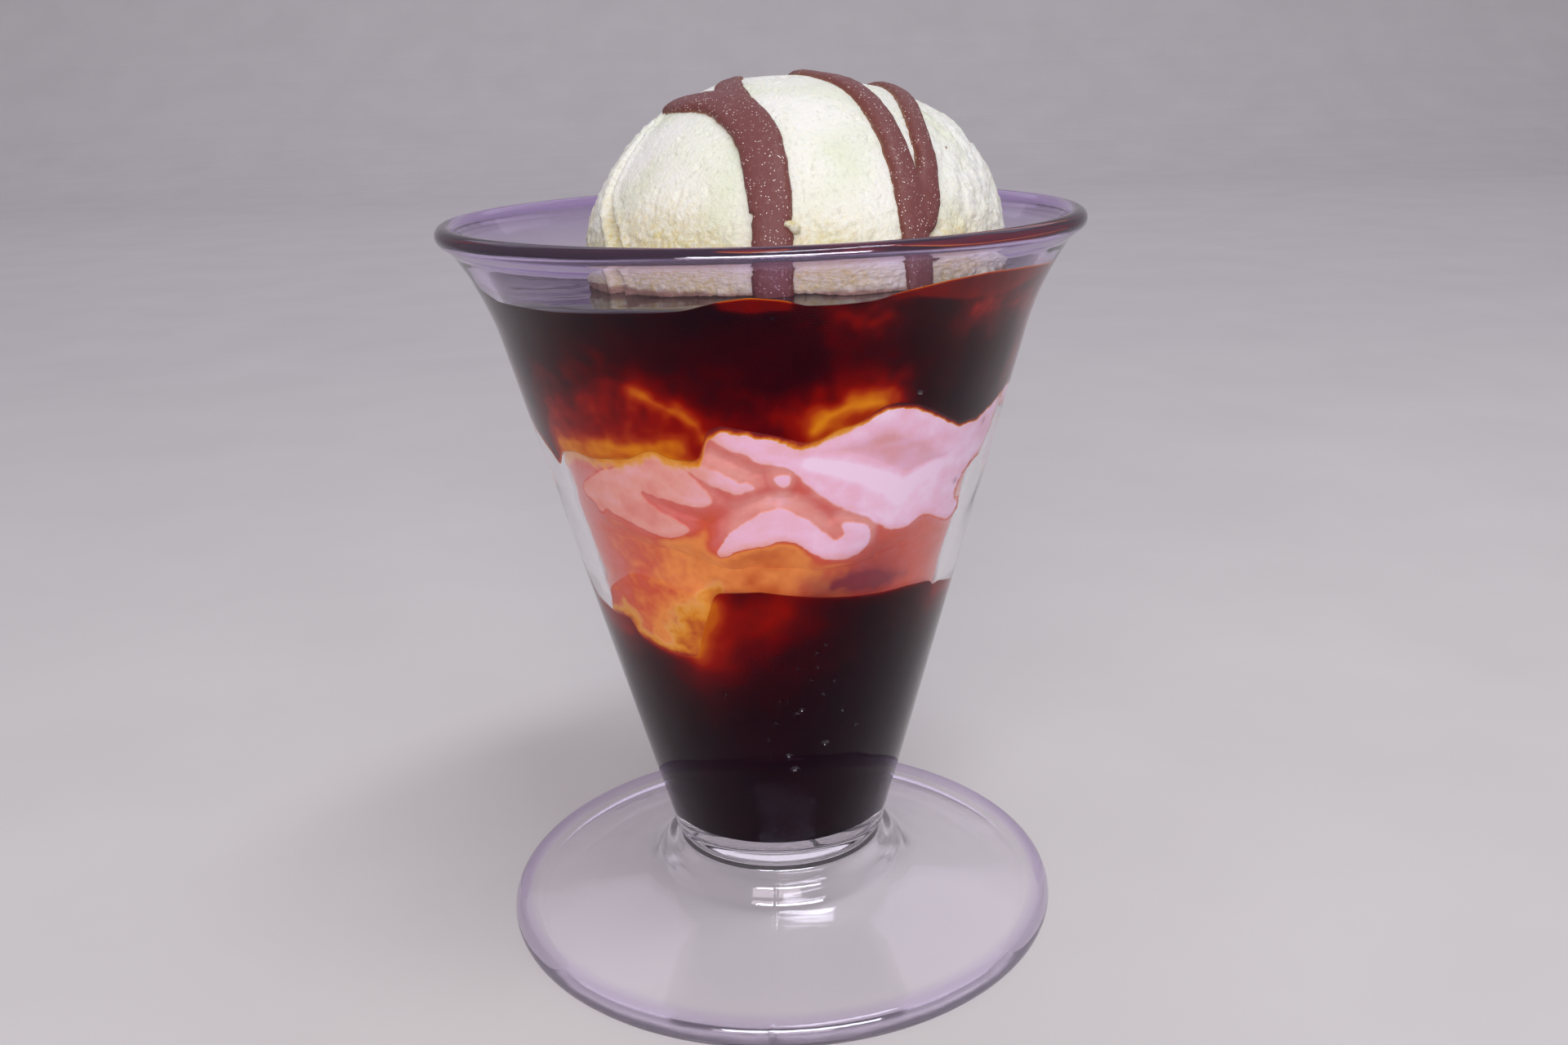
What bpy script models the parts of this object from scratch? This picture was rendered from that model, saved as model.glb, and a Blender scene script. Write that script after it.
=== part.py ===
"""Coffee jelly parfait in its own glass.

A footed glass with a straight flared bowl holds, from the bottom up, coffee jelly, cream
stained by coffee, whipped cream smeared against the wall, more coffee jelly, and a scoop of
vanilla ice cream with ribbons of chocolate sauce.

All sizes are in millimetres, and MM turns them into Blender's metres. The origin is on the
glass's axis in the plane it stands on, +Z is up and the shown side faces -Y. Azimuth is in
degrees round the axis, 0 at -Y and 90 at +X.
"""

import math

import bpy
import numpy as np

MM = 0.001
SIDES = 48  # facets round the glass and its layers
FIT_GAP = 0.3  # between a layer and the wall, and between two layers

# Glass
RIM_RADIUS = 48.0
BEAD_RADIUS = 1.45
GLASS_HEIGHT = 115.0
WALL = 2.5
CONE_BASE_Z = 15.9
CONE_BASE_RADIUS = 17.6
CONE_SLOPE = 0.2687
FLARE_START_Z = 98.0
FLARE_OUT = 4.4
FLOOR_Z = 18.0
FLOOR_CORNER = 4.0
FOOT_RADIUS = 45.2
FOOT_EDGE_RADIUS = 2.3
# Hollow of the foot, from the bearing ring in to the axis: (radius, height)
UNDERSIDE = [
    (41.3, 0.0),
    (40.0, 0.7),
    (35.0, 1.3),
    (30.0, 1.8),
    (25.0, 2.7),
    (21.0, 4.2),
    (17.5, 6.8),
    (14.5, 9.4),
    (11.0, 10.9),
    (6.0, 11.5),
    (0.0, 11.6),
]
BEAD_CENTRE = (RIM_RADIUS - BEAD_RADIUS, GLASS_HEIGHT - BEAD_RADIUS)
# Waist, collar and foot: (radius, height) down the outside, from the bowl's base edge
FOOT_OUTLINE = [
    (17.5, 15.0),
    (16.7, 14.0),
    (17.0, 12.9),
    (18.9, 11.8),
    (19.7, 10.4),
    (20.7, 8.6),
    (23.4, 6.9),
    (28.0, 5.7),
    (34.0, 5.0),
    (39.5, 4.7),
]

# Surfaces between the layers, as (azimuth, height) where they meet the wall, and
# again at INSIDE of the wall's radius, with one height in the middle
INSIDE = 0.88
LOWER_TOP_WALL = [
    (-165, 61.5), (-125, 59.5), (-95, 61.5), (-72, 60.0), (-55, 57.5), (-46, 54.5), (-35, 53.0),
    (-25, 53.5), (-18, 64.0), (-4, 65.1), (14, 63.6), (45, 62.5), (58, 60.8), (75, 59.3),
    (110, 60.5), (150, 62.5),
]  # fmt: skip
LOWER_TOP_INSIDE = [
    (-165, 60.0), (-95, 60.0), (-72, 57.0), (-50, 52.5), (-34, 50.5), (-20, 51.5), (-5, 54.5),
    (10, 57.5), (25, 60.0), (60, 59.5), (110, 59.0), (150, 60.5),
]  # fmt: skip
LOWER_TOP_MIDDLE = 58.0
STAINED_TOP_WALL = [
    (-160, 70.5), (-110, 68.5), (-80, 70.5), (-55, 72.0), (-40, 73.0), (-25, 72.0), (-10, 69.5),
    (10, 69.0), (30, 71.0), (52, 71.0), (80, 69.0), (125, 68.0), (160, 71.0),
]  # fmt: skip
STAINED_TOP_INSIDE = [(-180, 68.5), (-90, 69.5), (-35, 68.0), (20, 67.5), (90, 69.0)]
STAINED_TOP_MIDDLE = 68.0
CREAM_TOP_WALL = [
    (-165, 89.5), (-140, 91.0), (-110, 88.0), (-90, 88.5), (-76, 86.6), (-62, 81.5), (-56, 84.0),
    (-36, 84.8), (-27, 86.6), (-18, 85.4), (-12, 90.2), (-3, 89.9), (8, 87.9), (14, 89.2),
    (26, 92.3), (35, 91.6), (48, 87.7), (56, 87.6), (72, 91.0), (95, 90.0), (125, 87.0), (150, 88.5),
]  # fmt: skip
CREAM_TOP_INSIDE = [
    (-165, 91.0), (-110, 90.0), (-76, 91.0), (-50, 93.0), (-25, 94.0), (-12, 93.5), (-3, 91.5),
    (8, 94.0), (20, 96.0), (30, 94.5), (45, 90.5), (72, 92.5), (125, 89.5),
]  # fmt: skip
CREAM_TOP_MIDDLE = 92.0
JELLY_TOP_WALL = [
    (-170, 107.0), (-125, 106.4), (-90, 107.6), (-70, 108.0), (-60, 106.2), (-42, 106.1),
    (-15, 107.0), (-2, 108.2), (8, 107.3), (24, 107.8), (34, 107.2), (50, 106.3), (68, 107.8),
    (100, 107.2), (140, 106.6),
]  # fmt: skip
# Level of the jelly's open top, by azimuth: it stands higher in front
JELLY_LEVEL = [
    (-180, 105.4), (-100, 105.4), (-62, 106.0), (-30, 106.8), (0, 107.2), (45, 107.0), (75, 106.2),
    (120, 105.4),
]  # fmt: skip
# Across the gap from scoop to wall: where the jelly starts to climb the scoop's dish and the
# wall, and how much of the climb to the wall it has made there
DISH_EDGE = 0.2
CLIMB_START = 0.72
CLIMB_MADE = 0.15

# Cream pressed on the wall: strokes as (azimuth, height, half width), the rest stands back
CREAM_RECESS = 1.8
CONTACT_EDGE = 1.6
CREAM_STROKES = [
    [(-47, 78.5, 3.4), (-35, 77.5, 4.4), (-22, 76.5, 2.6)],
    [(-38, 82.5, 1.8), (-27, 83.5, 2.6), (-14, 80.5, 1.4)],
    [(-12, 89.0, 1.6), (0, 86.0, 2.4), (9, 84.0, 2.4)],
    [(-12, 71.8, 1.2), (-5, 75.3, 1.7), (5, 75.6, 2.0), (13, 71.5, 1.8), (22, 71.8, 2.2), (24, 74.4, 1.2)],
    [(8, 84.0, 2.2), (22, 79.0, 3.4), (34, 77.0, 4.2), (52, 76.5, 4.4)],
    [(40, 84.0, 3.2), (52, 84.5, 4.4), (64, 86.0, 4.0)],
    [(84, 80.0, 4.0), (104, 76.5, 3.0), (118, 79.5, 2.4)],
    [(128, 84.5, 2.6), (146, 79.0, 4.2), (166, 76.5, 3.4)],
    [(-176, 85.0, 3.0), (-158, 79.5, 3.6), (-140, 77.5, 2.2)],
    [(-124, 84.0, 3.8), (-104, 78.0, 3.4), (-90, 77.0, 2.0)],
]  # fmt: skip
# The stained cream touches the wall only in its lobe, centred on this spot
STAIN_RECESS = 1.5
LOBE_CENTRE = (-36, 56.5)
LOBE_HALF = (20, 7.0)

# Scoop: an ellipsoid of revolution round its own axis, sunk a little in the jelly
SCOOP_X = 5.2
SCOOP_RADIUS = 31.6
SCOOP_HEIGHT = 27.4
SCOOP_WIDEST_Z = 107.4
SCOOP_BASE_Z = 104.0
SCOOP_SKIRT = [(1.2, 0.0), (0.3, 1.3)]  # (distance inside the widest ring, height over the base)
SCOOP_SIDES = 64
SCOOP_ROWS = 16
# The scoop is flatter than its ellipsoid by this bell: centre, depth and spread
FLAT_CENTRE = (11, 90)
FLAT_DEPTH = 1.0
FLAT_SPREAD = 6.5
# Lines over the scoop are (angle from its top, azimuth round its axis, half width)
FOLD_DEPTH = 1.3
FOLD = [(50, -88, 1.6), (62, -72, 2.4), (74, -64, 3.2), (86, -59, 3.6)]
# Ribbons of sauce: lines with a height too, for their half-round section
RIBBON_SINK = 1.6
RIBBON_FOOT = 0.7  # half width of the sunk foot, as a share of the ribbon's own
RIBBON_STEP = 2.4  # between sections along a ribbon
SIDE_RIBBON = [
    (35, -86, 1.6, 0.9), (32.2, -62, 2.1, 1.1), (31.2, -46, 2.5, 1.2), (34, -29, 3.0, 1.25),
    (46, -13.5, 3.1, 1.25), (58, -9.4, 3.0, 1.25), (66, -7.6, 3.0, 1.25), (73, -6.9, 3.0, 1.25),
    (80, -6.9, 2.7, 1.25), (86, -7.0, 2.2, 1.25),
]  # fmt: skip
LOOP_RIBBON = [
    (31, -32, 2.2, 1.1), (24, -42, 1.9, 0.9), (17.5, -62, 1.8, 0.5), (16, -100, 1.7, 0.5),
    (22, -130, 1.7, 0.5), (28, -155, 1.7, 0.6), (24, -178, 1.7, 0.8), (14, 172, 1.7, 1.0),
    (4, 100, 1.7, 1.0), (11, 46, 1.7, 1.0), (23, 38, 1.8, 1.2), (39.5, 33.8, 1.9, 1.25),
    (56, 31, 2.0, 1.25), (68, 29.2, 2.2, 1.25), (79, 28.6, 2.3, 1.25), (86, 28.4, 1.9, 1.25),
]  # fmt: skip
BACK_RIBBON = [
    (83, 30.5, 1.5, 1.2), (73, 33.0, 2.1, 1.2), (58, 40, 1.7, 1.2), (44, 48.5, 1.6, 1.0),
    (30, 66, 1.5, 0.75), (23.5, 97, 1.5, 0.7), (27, 129, 1.6, 0.8), (39.5, 145, 1.7, 1.2),
    (56, 151, 1.9, 1.2), (68, 154, 2.0, 1.2), (76, 155.5, 2.1, 1.2),
]  # fmt: skip


def clear_scene():
    for item in list(bpy.data.objects):
        bpy.data.objects.remove(item, do_unlink=True)


def finish(name, colour, roughness, transmission=0.0):
    """A Principled material of one colour, given as red, green and blue from 0 to 1."""
    made = bpy.data.materials.new(name)
    made.use_nodes = True
    made.diffuse_color = (*colour, 1.0)
    shader = made.node_tree.nodes["Principled BSDF"]
    shader.inputs["Base Color"].default_value = (*colour, 1.0)
    shader.inputs["Roughness"].default_value = roughness
    shader.inputs["Metallic"].default_value = 0.0
    shader.inputs["Transmission Weight"].default_value = transmission
    return made


def add_mesh(name, points, faces, material, collection=None):
    """An object of its own from points in millimetres, shaded smooth but for its creases."""
    mesh = bpy.data.meshes.new(name)
    mesh.from_pydata((np.asarray(points) * MM).tolist(), [], faces)
    mesh.shade_smooth()
    mesh.set_sharp_from_angle(angle=math.radians(40))
    mesh.materials.append(material)
    made = bpy.data.objects.new(name, mesh)
    (collection or bpy.context.scene.collection).objects.link(made)
    return made


def split_quads(points, quads):
    """Two triangles for each quad, cut along its shorter diagonal."""
    corner = points[quads]
    first = np.linalg.norm(corner[:, 0] - corner[:, 2], axis=1)
    other = np.linalg.norm(corner[:, 1] - corner[:, 3], axis=1)
    order = np.where((first <= other)[:, None], [[0, 1, 2, 0, 2, 3]], [[1, 2, 3, 1, 3, 0]])
    return np.take_along_axis(quads, order, axis=1).reshape(-1, 3)


def ringed_body(name, rings, low_pole, high_pole, material, collection=None):
    """A closed body of rings that run out from low_pole, up the side and in to high_pole."""
    count, sides = rings.shape[:2]
    points = np.vstack([rings.reshape(-1, 3), [low_pole, high_pole]])
    side = np.arange(sides)
    after = (side + 1) % sides
    ring = np.arange(count - 1)[:, None] * sides
    quads = np.stack([ring + side, ring + after, ring + sides + after, ring + sides + side], axis=-1)
    low, high = np.full(sides, count * sides), np.full(sides, count * sides + 1)
    last = (count - 1) * sides
    faces = np.vstack(
        [
            np.stack([low, after, side], axis=-1),
            split_quads(points, quads.reshape(-1, 4)),
            np.stack([last + side, last + after, high], axis=-1),
        ]
    )
    return add_mesh(name, points, faces.tolist(), material, collection)


def polar(azimuth, radius, height, axis_x=0.0):
    """Points at these azimuths in degrees, radii and heights, round an upright axis at axis_x."""
    turn = np.radians(azimuth)
    x, y = axis_x + radius * np.sin(turn), -radius * np.cos(turn)
    return np.stack(np.broadcast_arrays(x, y, height), axis=-1)


def azimuths(sides):
    return np.arange(sides) * 360.0 / sides - 180.0


def around(marks, azimuth, blur=2.5):
    """Height round the wall: straight runs between the marks, softened by a bell of blur degrees."""
    steps = np.arange(-180.0, 180.0)
    marked = np.array(marks)
    runs = np.interp(steps, marked[:, 0], marked[:, 1], period=360)
    distance = np.minimum(np.arange(360), 360 - np.arange(360))
    bell = np.exp(-0.5 * (distance / blur) ** 2)
    soft = np.fft.ifft(np.fft.fft(runs) * np.fft.fft(bell / bell.sum())).real
    return np.interp(azimuth, steps, soft, period=360)


def smooth_step(value):
    value = np.clip(value, 0.0, 1.0)
    return value * value * (3.0 - 2.0 * value)


def flare(z):
    return np.clip((z - FLARE_START_Z) / (GLASS_HEIGHT - FLARE_START_Z), 0.0, None)


def outer_radius(z):
    """The bowl's outside: a straight cone, opened above FLARE_START_Z by a parabola."""
    return CONE_BASE_RADIUS + CONE_SLOPE * (z - CONE_BASE_Z) + FLARE_OUT * flare(z) ** 2


def inner_radius(z):
    """The bowl's inside, one wall thickness in from the outside, square to it."""
    slope = CONE_SLOPE + 2.0 * FLARE_OUT * flare(z) / (GLASS_HEIGHT - FLARE_START_Z)
    return outer_radius(z) - WALL * np.sqrt(1.0 + slope**2)


def arc(centre, radius, start, end, steps):
    """Points on a circle in the (radius, height) plane, between two angles in degrees."""
    turn = np.radians(np.linspace(start, end, steps))
    return [(centre[0] + radius * math.cos(t), centre[1] + radius * math.sin(t)) for t in turn]


def glass_outline():
    """The half section: up the inside from the floor's middle, over the rim and down the outside."""
    corner_z = FLOOR_Z + FLOOR_CORNER
    corner = (float(inner_radius(corner_z)) - FLOOR_CORNER, corner_z)
    inside = [(0.0, FLOOR_Z)]
    inside += arc(corner, FLOOR_CORNER, -90, -15, 3)
    wall_heights = [corner_z + 2.0, 60.0, 98.0, 102.0, 106.0, 109.0, 111.5]
    inside += [(float(inner_radius(z)), z) for z in wall_heights]
    bead = arc(BEAD_CENTRE, BEAD_RADIUS, 170, -50, 6)
    outside = [(float(outer_radius(z)), z) for z in (110.5, 107.5, 104.0, 98.0, 60.0, 22.0, 16.4)]
    edge_centre = (FOOT_RADIUS - FOOT_EDGE_RADIUS, FOOT_EDGE_RADIUS)
    foot_edge = arc(edge_centre, FOOT_EDGE_RADIUS, 90, -90, 6)
    return inside + bead + outside + FOOT_OUTLINE + foot_edge + UNDERSIDE


def build_glass(material):
    """The glass in one piece, its half section turned once round by a Screw."""
    outline = glass_outline()
    mesh = bpy.data.meshes.new("glass")
    points = [(r * MM, 0.0, z * MM) for r, z in outline]
    edges = [(i, i + 1) for i in range(len(points) - 1)]
    mesh.from_pydata(points, edges, [])
    mesh.materials.append(material)
    glass = bpy.data.objects.new("glass", mesh)
    bpy.context.scene.collection.objects.link(glass)
    screw = glass.modifiers.new("turn", "SCREW")
    screw.axis = "Z"
    screw.angle = math.tau
    screw.steps = SIDES
    screw.render_steps = SIDES
    screw.use_merge_vertices = True
    screw.merge_threshold = 1e-5
    screw.use_smooth_shade = True
    return glass


def layer_surface(wall_marks, inside_marks, middle):
    """Height of a surface between layers, as a function of azimuth and fraction of the radius."""

    def height(azimuth, fraction):
        near_wall = smooth_step((fraction - INSIDE) / (1.0 - INSIDE))
        outward = smooth_step(fraction / INSIDE)
        inside = middle + (around(inside_marks, azimuth) - middle) * outward
        return inside + (around(wall_marks, azimuth) - inside) * near_wall

    return height


lower_top = layer_surface(LOWER_TOP_WALL, LOWER_TOP_INSIDE, LOWER_TOP_MIDDLE)
stained_top = layer_surface(STAINED_TOP_WALL, STAINED_TOP_INSIDE, STAINED_TOP_MIDDLE)
cream_top = layer_surface(CREAM_TOP_WALL, CREAM_TOP_INSIDE, CREAM_TOP_MIDDLE)

FRACTIONS = np.array([0.3, 0.6, INSIDE, 0.94, 1.0])


def surface_rings(height, lift):
    """Rings over a layer surface, from near the middle out to the wall, lifted by lift."""
    azimuth = azimuths(SIDES)
    at_wall = height(azimuth, 1.0) + lift
    reach = inner_radius(at_wall) - FIT_GAP
    heights = height(azimuth[None, :], FRACTIONS[:, None]) + lift
    return polar(azimuth[None, :], reach * FRACTIONS[:, None], heights)


def wall_rings(low, high, rows, recess):
    """Rings up the wall between two edge rings, standing back from it by recess(azimuth, z)."""
    azimuth = azimuths(SIDES)
    part = (np.arange(1, rows + 1) / (rows + 1.0))[:, None]
    z = low[:, 2] + (high[:, 2] - low[:, 2]) * part
    radius = inner_radius(z) - FIT_GAP - recess(azimuth[None, :], z)
    return polar(azimuth[None, :], radius, z)


def no_recess(azimuth, z):
    """Jelly lies against the wall all round."""
    return np.zeros(np.broadcast(azimuth, z).shape)


def stroke_distance(stroke, azimuth, z):
    """Distance outside a stroke on the wall, less than nothing on the stroke."""
    best = np.full(np.broadcast(azimuth, z).shape, 99.0)
    for (a0, z0, w0), (a1, z1, w1) in zip(stroke, stroke[1:]):
        across = math.radians(1.0) * float(inner_radius(0.5 * (z0 + z1)))
        turn = (azimuth - a0 + 180.0) % 360.0 - 180.0
        end = (a1 - a0 + 180.0) % 360.0 - 180.0
        dx, dz = end * across, z1 - z0
        along = np.clip((turn * across * dx + (z - z0) * dz) / (dx * dx + dz * dz), 0.0, 1.0)
        gap = np.hypot(turn * across - dx * along, z - z0 - dz * along)
        best = np.minimum(best, gap - (w0 + (w1 - w0) * along))
    return best


def cream_recess(azimuth, z):
    """How far the whipped cream stands back from the wall: nothing on its strokes."""
    gap = np.min([stroke_distance(stroke, azimuth, z) for stroke in CREAM_STROKES], axis=0)
    return CREAM_RECESS * smooth_step(gap / CONTACT_EDGE)


def stain_recess(azimuth, z):
    """How far the stained cream stands back from the wall: nothing inside its lobe."""
    from_lobe = np.hypot((azimuth - LOBE_CENTRE[0]) / LOBE_HALF[0], (z - LOBE_CENTRE[1]) / LOBE_HALF[1])
    return STAIN_RECESS * smooth_step((from_lobe - 1.0) / 0.5)


def build_layer(name, bottom, top, rows, recess, material):
    """A layer between two surfaces, with rows of rings up its side."""
    low = surface_rings(bottom, 0.5 * FIT_GAP)
    high = surface_rings(top, -0.5 * FIT_GAP)
    side = wall_rings(low[-1], high[-1], rows, recess)
    rings = np.concatenate([low, side, high[::-1]])
    middle_low = (0.0, 0.0, float(bottom(0.0, 0.0)) + 0.5 * FIT_GAP)
    middle_high = (0.0, 0.0, float(top(0.0, 0.0)) - 0.5 * FIT_GAP)
    return ringed_body(name, rings, middle_low, middle_high, material)


def build_lower_jelly(material):
    """Jelly from the glass's floor up to the lower surface."""
    azimuth = azimuths(SIDES)
    corner_z = FLOOR_Z + FLOOR_CORNER
    corner_radius = float(inner_radius(corner_z)) - FLOOR_CORNER
    floor = []
    for r, z in arc((corner_radius, corner_z), FLOOR_CORNER - FIT_GAP, -90, -15, 4):
        floor.append(polar(azimuth, r, z))
    high = surface_rings(lower_top, -0.5 * FIT_GAP)
    side = wall_rings(floor[-1], high[-1], 7, no_recess)
    rings = np.concatenate([floor, side, high[::-1]])
    middle_high = (0.0, 0.0, LOWER_TOP_MIDDLE - 0.5 * FIT_GAP)
    middle_low = (0.0, 0.0, FLOOR_Z + FIT_GAP)
    return ringed_body("coffee_jelly_lower", rings, middle_low, middle_high, material)


def scoop_footprint(azimuth):
    """Distance from the glass's axis to a circle FIT_GAP outside the scoop's base."""
    turn = np.radians(azimuth)
    reach = SCOOP_RADIUS + 2.0 * FIT_GAP
    return SCOOP_X * np.sin(turn) + np.sqrt(reach**2 - (SCOOP_X * np.cos(turn)) ** 2)


def build_upper_jelly(material):
    """Jelly from the whipped cream up to its level, dished under the scoop and up at the wall."""
    azimuth = azimuths(SIDES)
    low = surface_rings(cream_top, 0.5 * FIT_GAP)
    at_wall = around(JELLY_TOP_WALL, azimuth)
    edge = polar(azimuth, inner_radius(at_wall) - FIT_GAP, at_wall)
    level = around(JELLY_LEVEL, azimuth)
    wall_reach = inner_radius(level) - FIT_GAP
    footprint = scoop_footprint(azimuth)
    dish_z = SCOOP_BASE_Z - FIT_GAP
    gap = wall_reach - footprint
    top = [
        edge,
        polar(azimuth, footprint + CLIMB_START * gap, level + CLIMB_MADE * (at_wall - level)),
        polar(azimuth, footprint + DISH_EDGE * gap, level),
        polar(azimuth, footprint, dish_z),
        polar(azimuth, 0.5 * footprint, dish_z),
    ]
    side = wall_rings(low[-1], edge, 4, no_recess)
    rings = np.concatenate([low, side, top])
    middle_low = (0.0, 0.0, CREAM_TOP_MIDDLE + 0.5 * FIT_GAP)
    return ringed_body("coffee_jelly_upper", rings, middle_low, (0.0, 0.0, dish_z), material)


def scoop_point(polar_angle, azimuth):
    """A point on the bare scoop, from the middle of its widest ring, by two angles in degrees."""
    lean, turn = np.radians(polar_angle), np.radians(azimuth)
    out = SCOOP_RADIUS * np.sin(lean)
    return np.stack(
        np.broadcast_arrays(out * np.sin(turn), -out * np.cos(turn), SCOOP_HEIGHT * np.cos(lean)), axis=-1
    )


def curve_over_scoop(marks, step):
    """Points every step along a curve over the scoop through the marks, with their widths.

    Between marks the curve is a Catmull-Rom cubic, laid back on the ellipsoid.
    """
    marks = np.array(marks, dtype=float)
    knots = np.column_stack([scoop_point(marks[:, 0], marks[:, 1]), marks[:, 2:]])
    knots = np.vstack([2 * knots[0] - knots[1], knots, 2 * knots[-1] - knots[-2]])
    t = np.linspace(0.0, 1.0, 12, endpoint=False)[:, None, None]
    a, b, c, d = knots[:-3], knots[1:-2], knots[2:-1], knots[3:]
    cubic = b + 0.5 * t * (c - a + t * (2 * a - 5 * b + 4 * c - d + t * (3 * (b - c) + d - a)))
    dense = np.vstack([cubic.transpose(1, 0, 2).reshape(-1, knots.shape[1]), knots[-2]])
    axes = np.array([SCOOP_RADIUS, SCOOP_RADIUS, SCOOP_HEIGHT])
    dense[:, :3] /= np.linalg.norm(dense[:, :3] / axes, axis=1, keepdims=True)
    run = np.append(0.0, np.cumsum(np.linalg.norm(np.diff(dense[:, :3], axis=0), axis=1)))
    stops = np.linspace(0.0, run[-1], int(run[-1] / step) + 2)
    return np.stack([np.interp(stops, run, column) for column in dense.T], axis=-1), stops


def flattening(points):
    """How far the scoop lies inside its ellipsoid near its top, by a bell round one spot."""
    gap = np.linalg.norm(points - scoop_point(*FLAT_CENTRE), axis=-1)
    return FLAT_DEPTH * np.exp(-0.5 * (gap / FLAT_SPREAD) ** 2)


def ribbon_body(name, marks, material, collection):
    """One ribbon: a half-round section carried over the scoop, rounded off at both ends."""
    line, stops = curve_over_scoop(marks, RIBBON_STEP)
    points, half, height = line[:, :3], line[:, 3], line[:, 4:5]
    normal = points / np.array([SCOOP_RADIUS, SCOOP_RADIUS, SCOOP_HEIGHT]) ** 2
    normal /= np.linalg.norm(normal, axis=1, keepdims=True)
    along = np.gradient(points, stops, axis=0)
    across = np.cross(normal, along)
    across /= np.linalg.norm(across, axis=1, keepdims=True)
    to_end = np.minimum(stops, stops[-1] - stops) / half
    rounding = np.sqrt(np.clip(1.0 - (1.0 - np.clip(to_end, 0.12, 1.0)) ** 2, 0.0, 1.0))
    turn = np.radians(np.linspace(0, 180, 7))
    side = np.append(np.cos(turn), [-RIBBON_FOOT, RIBBON_FOOT])
    top = height * np.sin(turn)
    rise = np.hstack([top, np.full((len(line), 2), -RIBBON_SINK)]) * rounding[:, None]
    rise -= flattening(points)[:, None]
    rings = (
        points[:, None]
        + across[:, None] * (side * (half * rounding)[:, None])[..., None]
        + normal[:, None] * rise[..., None]
    )
    rings += np.array([SCOOP_X, 0.0, SCOOP_WIDEST_Z])
    return ringed_body(name, rings, rings[0].mean(axis=0), rings[-1].mean(axis=0), material, collection)


def fold_relief(points):
    """The fold down the scoop's side, a groove with a bell section."""
    line, _ = curve_over_scoop(FOLD, 1.0)
    gap = np.linalg.norm(points[..., None, :] - line[:, :3], axis=-1) / line[:, 3]
    return -FOLD_DEPTH * np.exp(-2.0 * gap.min(axis=-1) ** 2)


def scoop_body(material):
    """The bare scoop: half an ellipsoid with its fold, on a short rounded skirt and a flat base."""
    azimuth = azimuths(SCOOP_SIDES)
    lean = np.linspace(90.0, 0.0, SCOOP_ROWS, endpoint=False)
    bare = scoop_point(lean[:, None], azimuth[None, :])
    outward = bare / np.linalg.norm(bare, axis=-1, keepdims=True)
    relief = fold_relief(bare) - flattening(bare)
    dome = bare + outward * relief[..., None] + np.array([SCOOP_X, 0.0, SCOOP_WIDEST_Z])
    base = [polar(azimuth, SCOOP_RADIUS - inset, SCOOP_BASE_Z + rise, SCOOP_X) for inset, rise in SCOOP_SKIRT]
    crown = SCOOP_HEIGHT - float(flattening(scoop_point(0.0, 0.0)))
    top = (SCOOP_X, 0.0, SCOOP_WIDEST_Z + crown)
    return ringed_body("ice_cream", np.concatenate([base, dome]), (SCOOP_X, 0.0, SCOOP_BASE_Z), top, material)


def build_ice_cream(material):
    """The scoop and its ribbons of sauce, joined into one solid."""
    ribbons = bpy.data.collections.new("ribbons")
    bpy.context.scene.collection.children.link(ribbons)
    for number, marks in enumerate((SIDE_RIBBON, LOOP_RIBBON, BACK_RIBBON)):
        ribbon_body(f"ribbon_{number}", marks, material, ribbons)
    scoop = scoop_body(material)
    join = scoop.modifiers.new("join", "BOOLEAN")
    join.operation = "UNION"
    join.solver = "EXACT"
    join.operand_type = "COLLECTION"
    join.collection = ribbons
    graph = bpy.context.evaluated_depsgraph_get()
    joined = bpy.data.meshes.new_from_object(scoop.evaluated_get(graph))
    scoop.modifiers.clear()
    scoop.data = joined
    for ribbon in list(ribbons.objects):
        bpy.data.objects.remove(ribbon, do_unlink=True)
    bpy.data.collections.remove(ribbons)
    return scoop


def main():
    clear_scene()
    glass = finish("pressed glass", (0.86, 0.84, 0.88), 0.03, 1.0)
    jelly = finish("coffee jelly", (0.045, 0.008, 0.012), 0.12)
    stained = finish("coffee-stained cream", (0.62, 0.36, 0.24), 0.4)
    cream = finish("whipped cream", (0.90, 0.76, 0.82), 0.35)
    ice = finish("vanilla ice cream", (0.93, 0.92, 0.84), 0.6)
    build_glass(glass)
    build_lower_jelly(jelly)
    build_layer("stained_cream", lower_top, stained_top, 4, stain_recess, stained)
    build_layer("whipped_cream", stained_top, cream_top, 7, cream_recess, cream)
    build_upper_jelly(jelly)
    build_ice_cream(ice)


main()
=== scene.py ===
import itertools
import math

import bpy
import numpy as np
from mathutils import Matrix, Vector


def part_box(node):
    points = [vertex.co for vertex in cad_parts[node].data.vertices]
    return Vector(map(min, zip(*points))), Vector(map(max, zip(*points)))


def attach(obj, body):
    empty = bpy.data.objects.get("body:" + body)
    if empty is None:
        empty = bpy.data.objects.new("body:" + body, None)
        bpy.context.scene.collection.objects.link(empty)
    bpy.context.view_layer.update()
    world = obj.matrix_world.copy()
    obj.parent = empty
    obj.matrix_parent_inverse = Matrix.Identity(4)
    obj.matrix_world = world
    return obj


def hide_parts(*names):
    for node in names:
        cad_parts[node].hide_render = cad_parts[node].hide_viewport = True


# Looks of a coffee jelly parfait in its footed glass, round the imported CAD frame.
#
# Sizes are in millimetres until a mesh is made. The origin is on the glass's axis in the plane
# it stands on, +Z is up and the shown side faces -Y. Azimuth is in degrees round the axis, 0 at
# the front and 90 at +X. Every piece is a surface over a grid of rings: its points are worked
# out as whole arrays, with closed poles, and colour follows numbers kept at each point.

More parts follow.
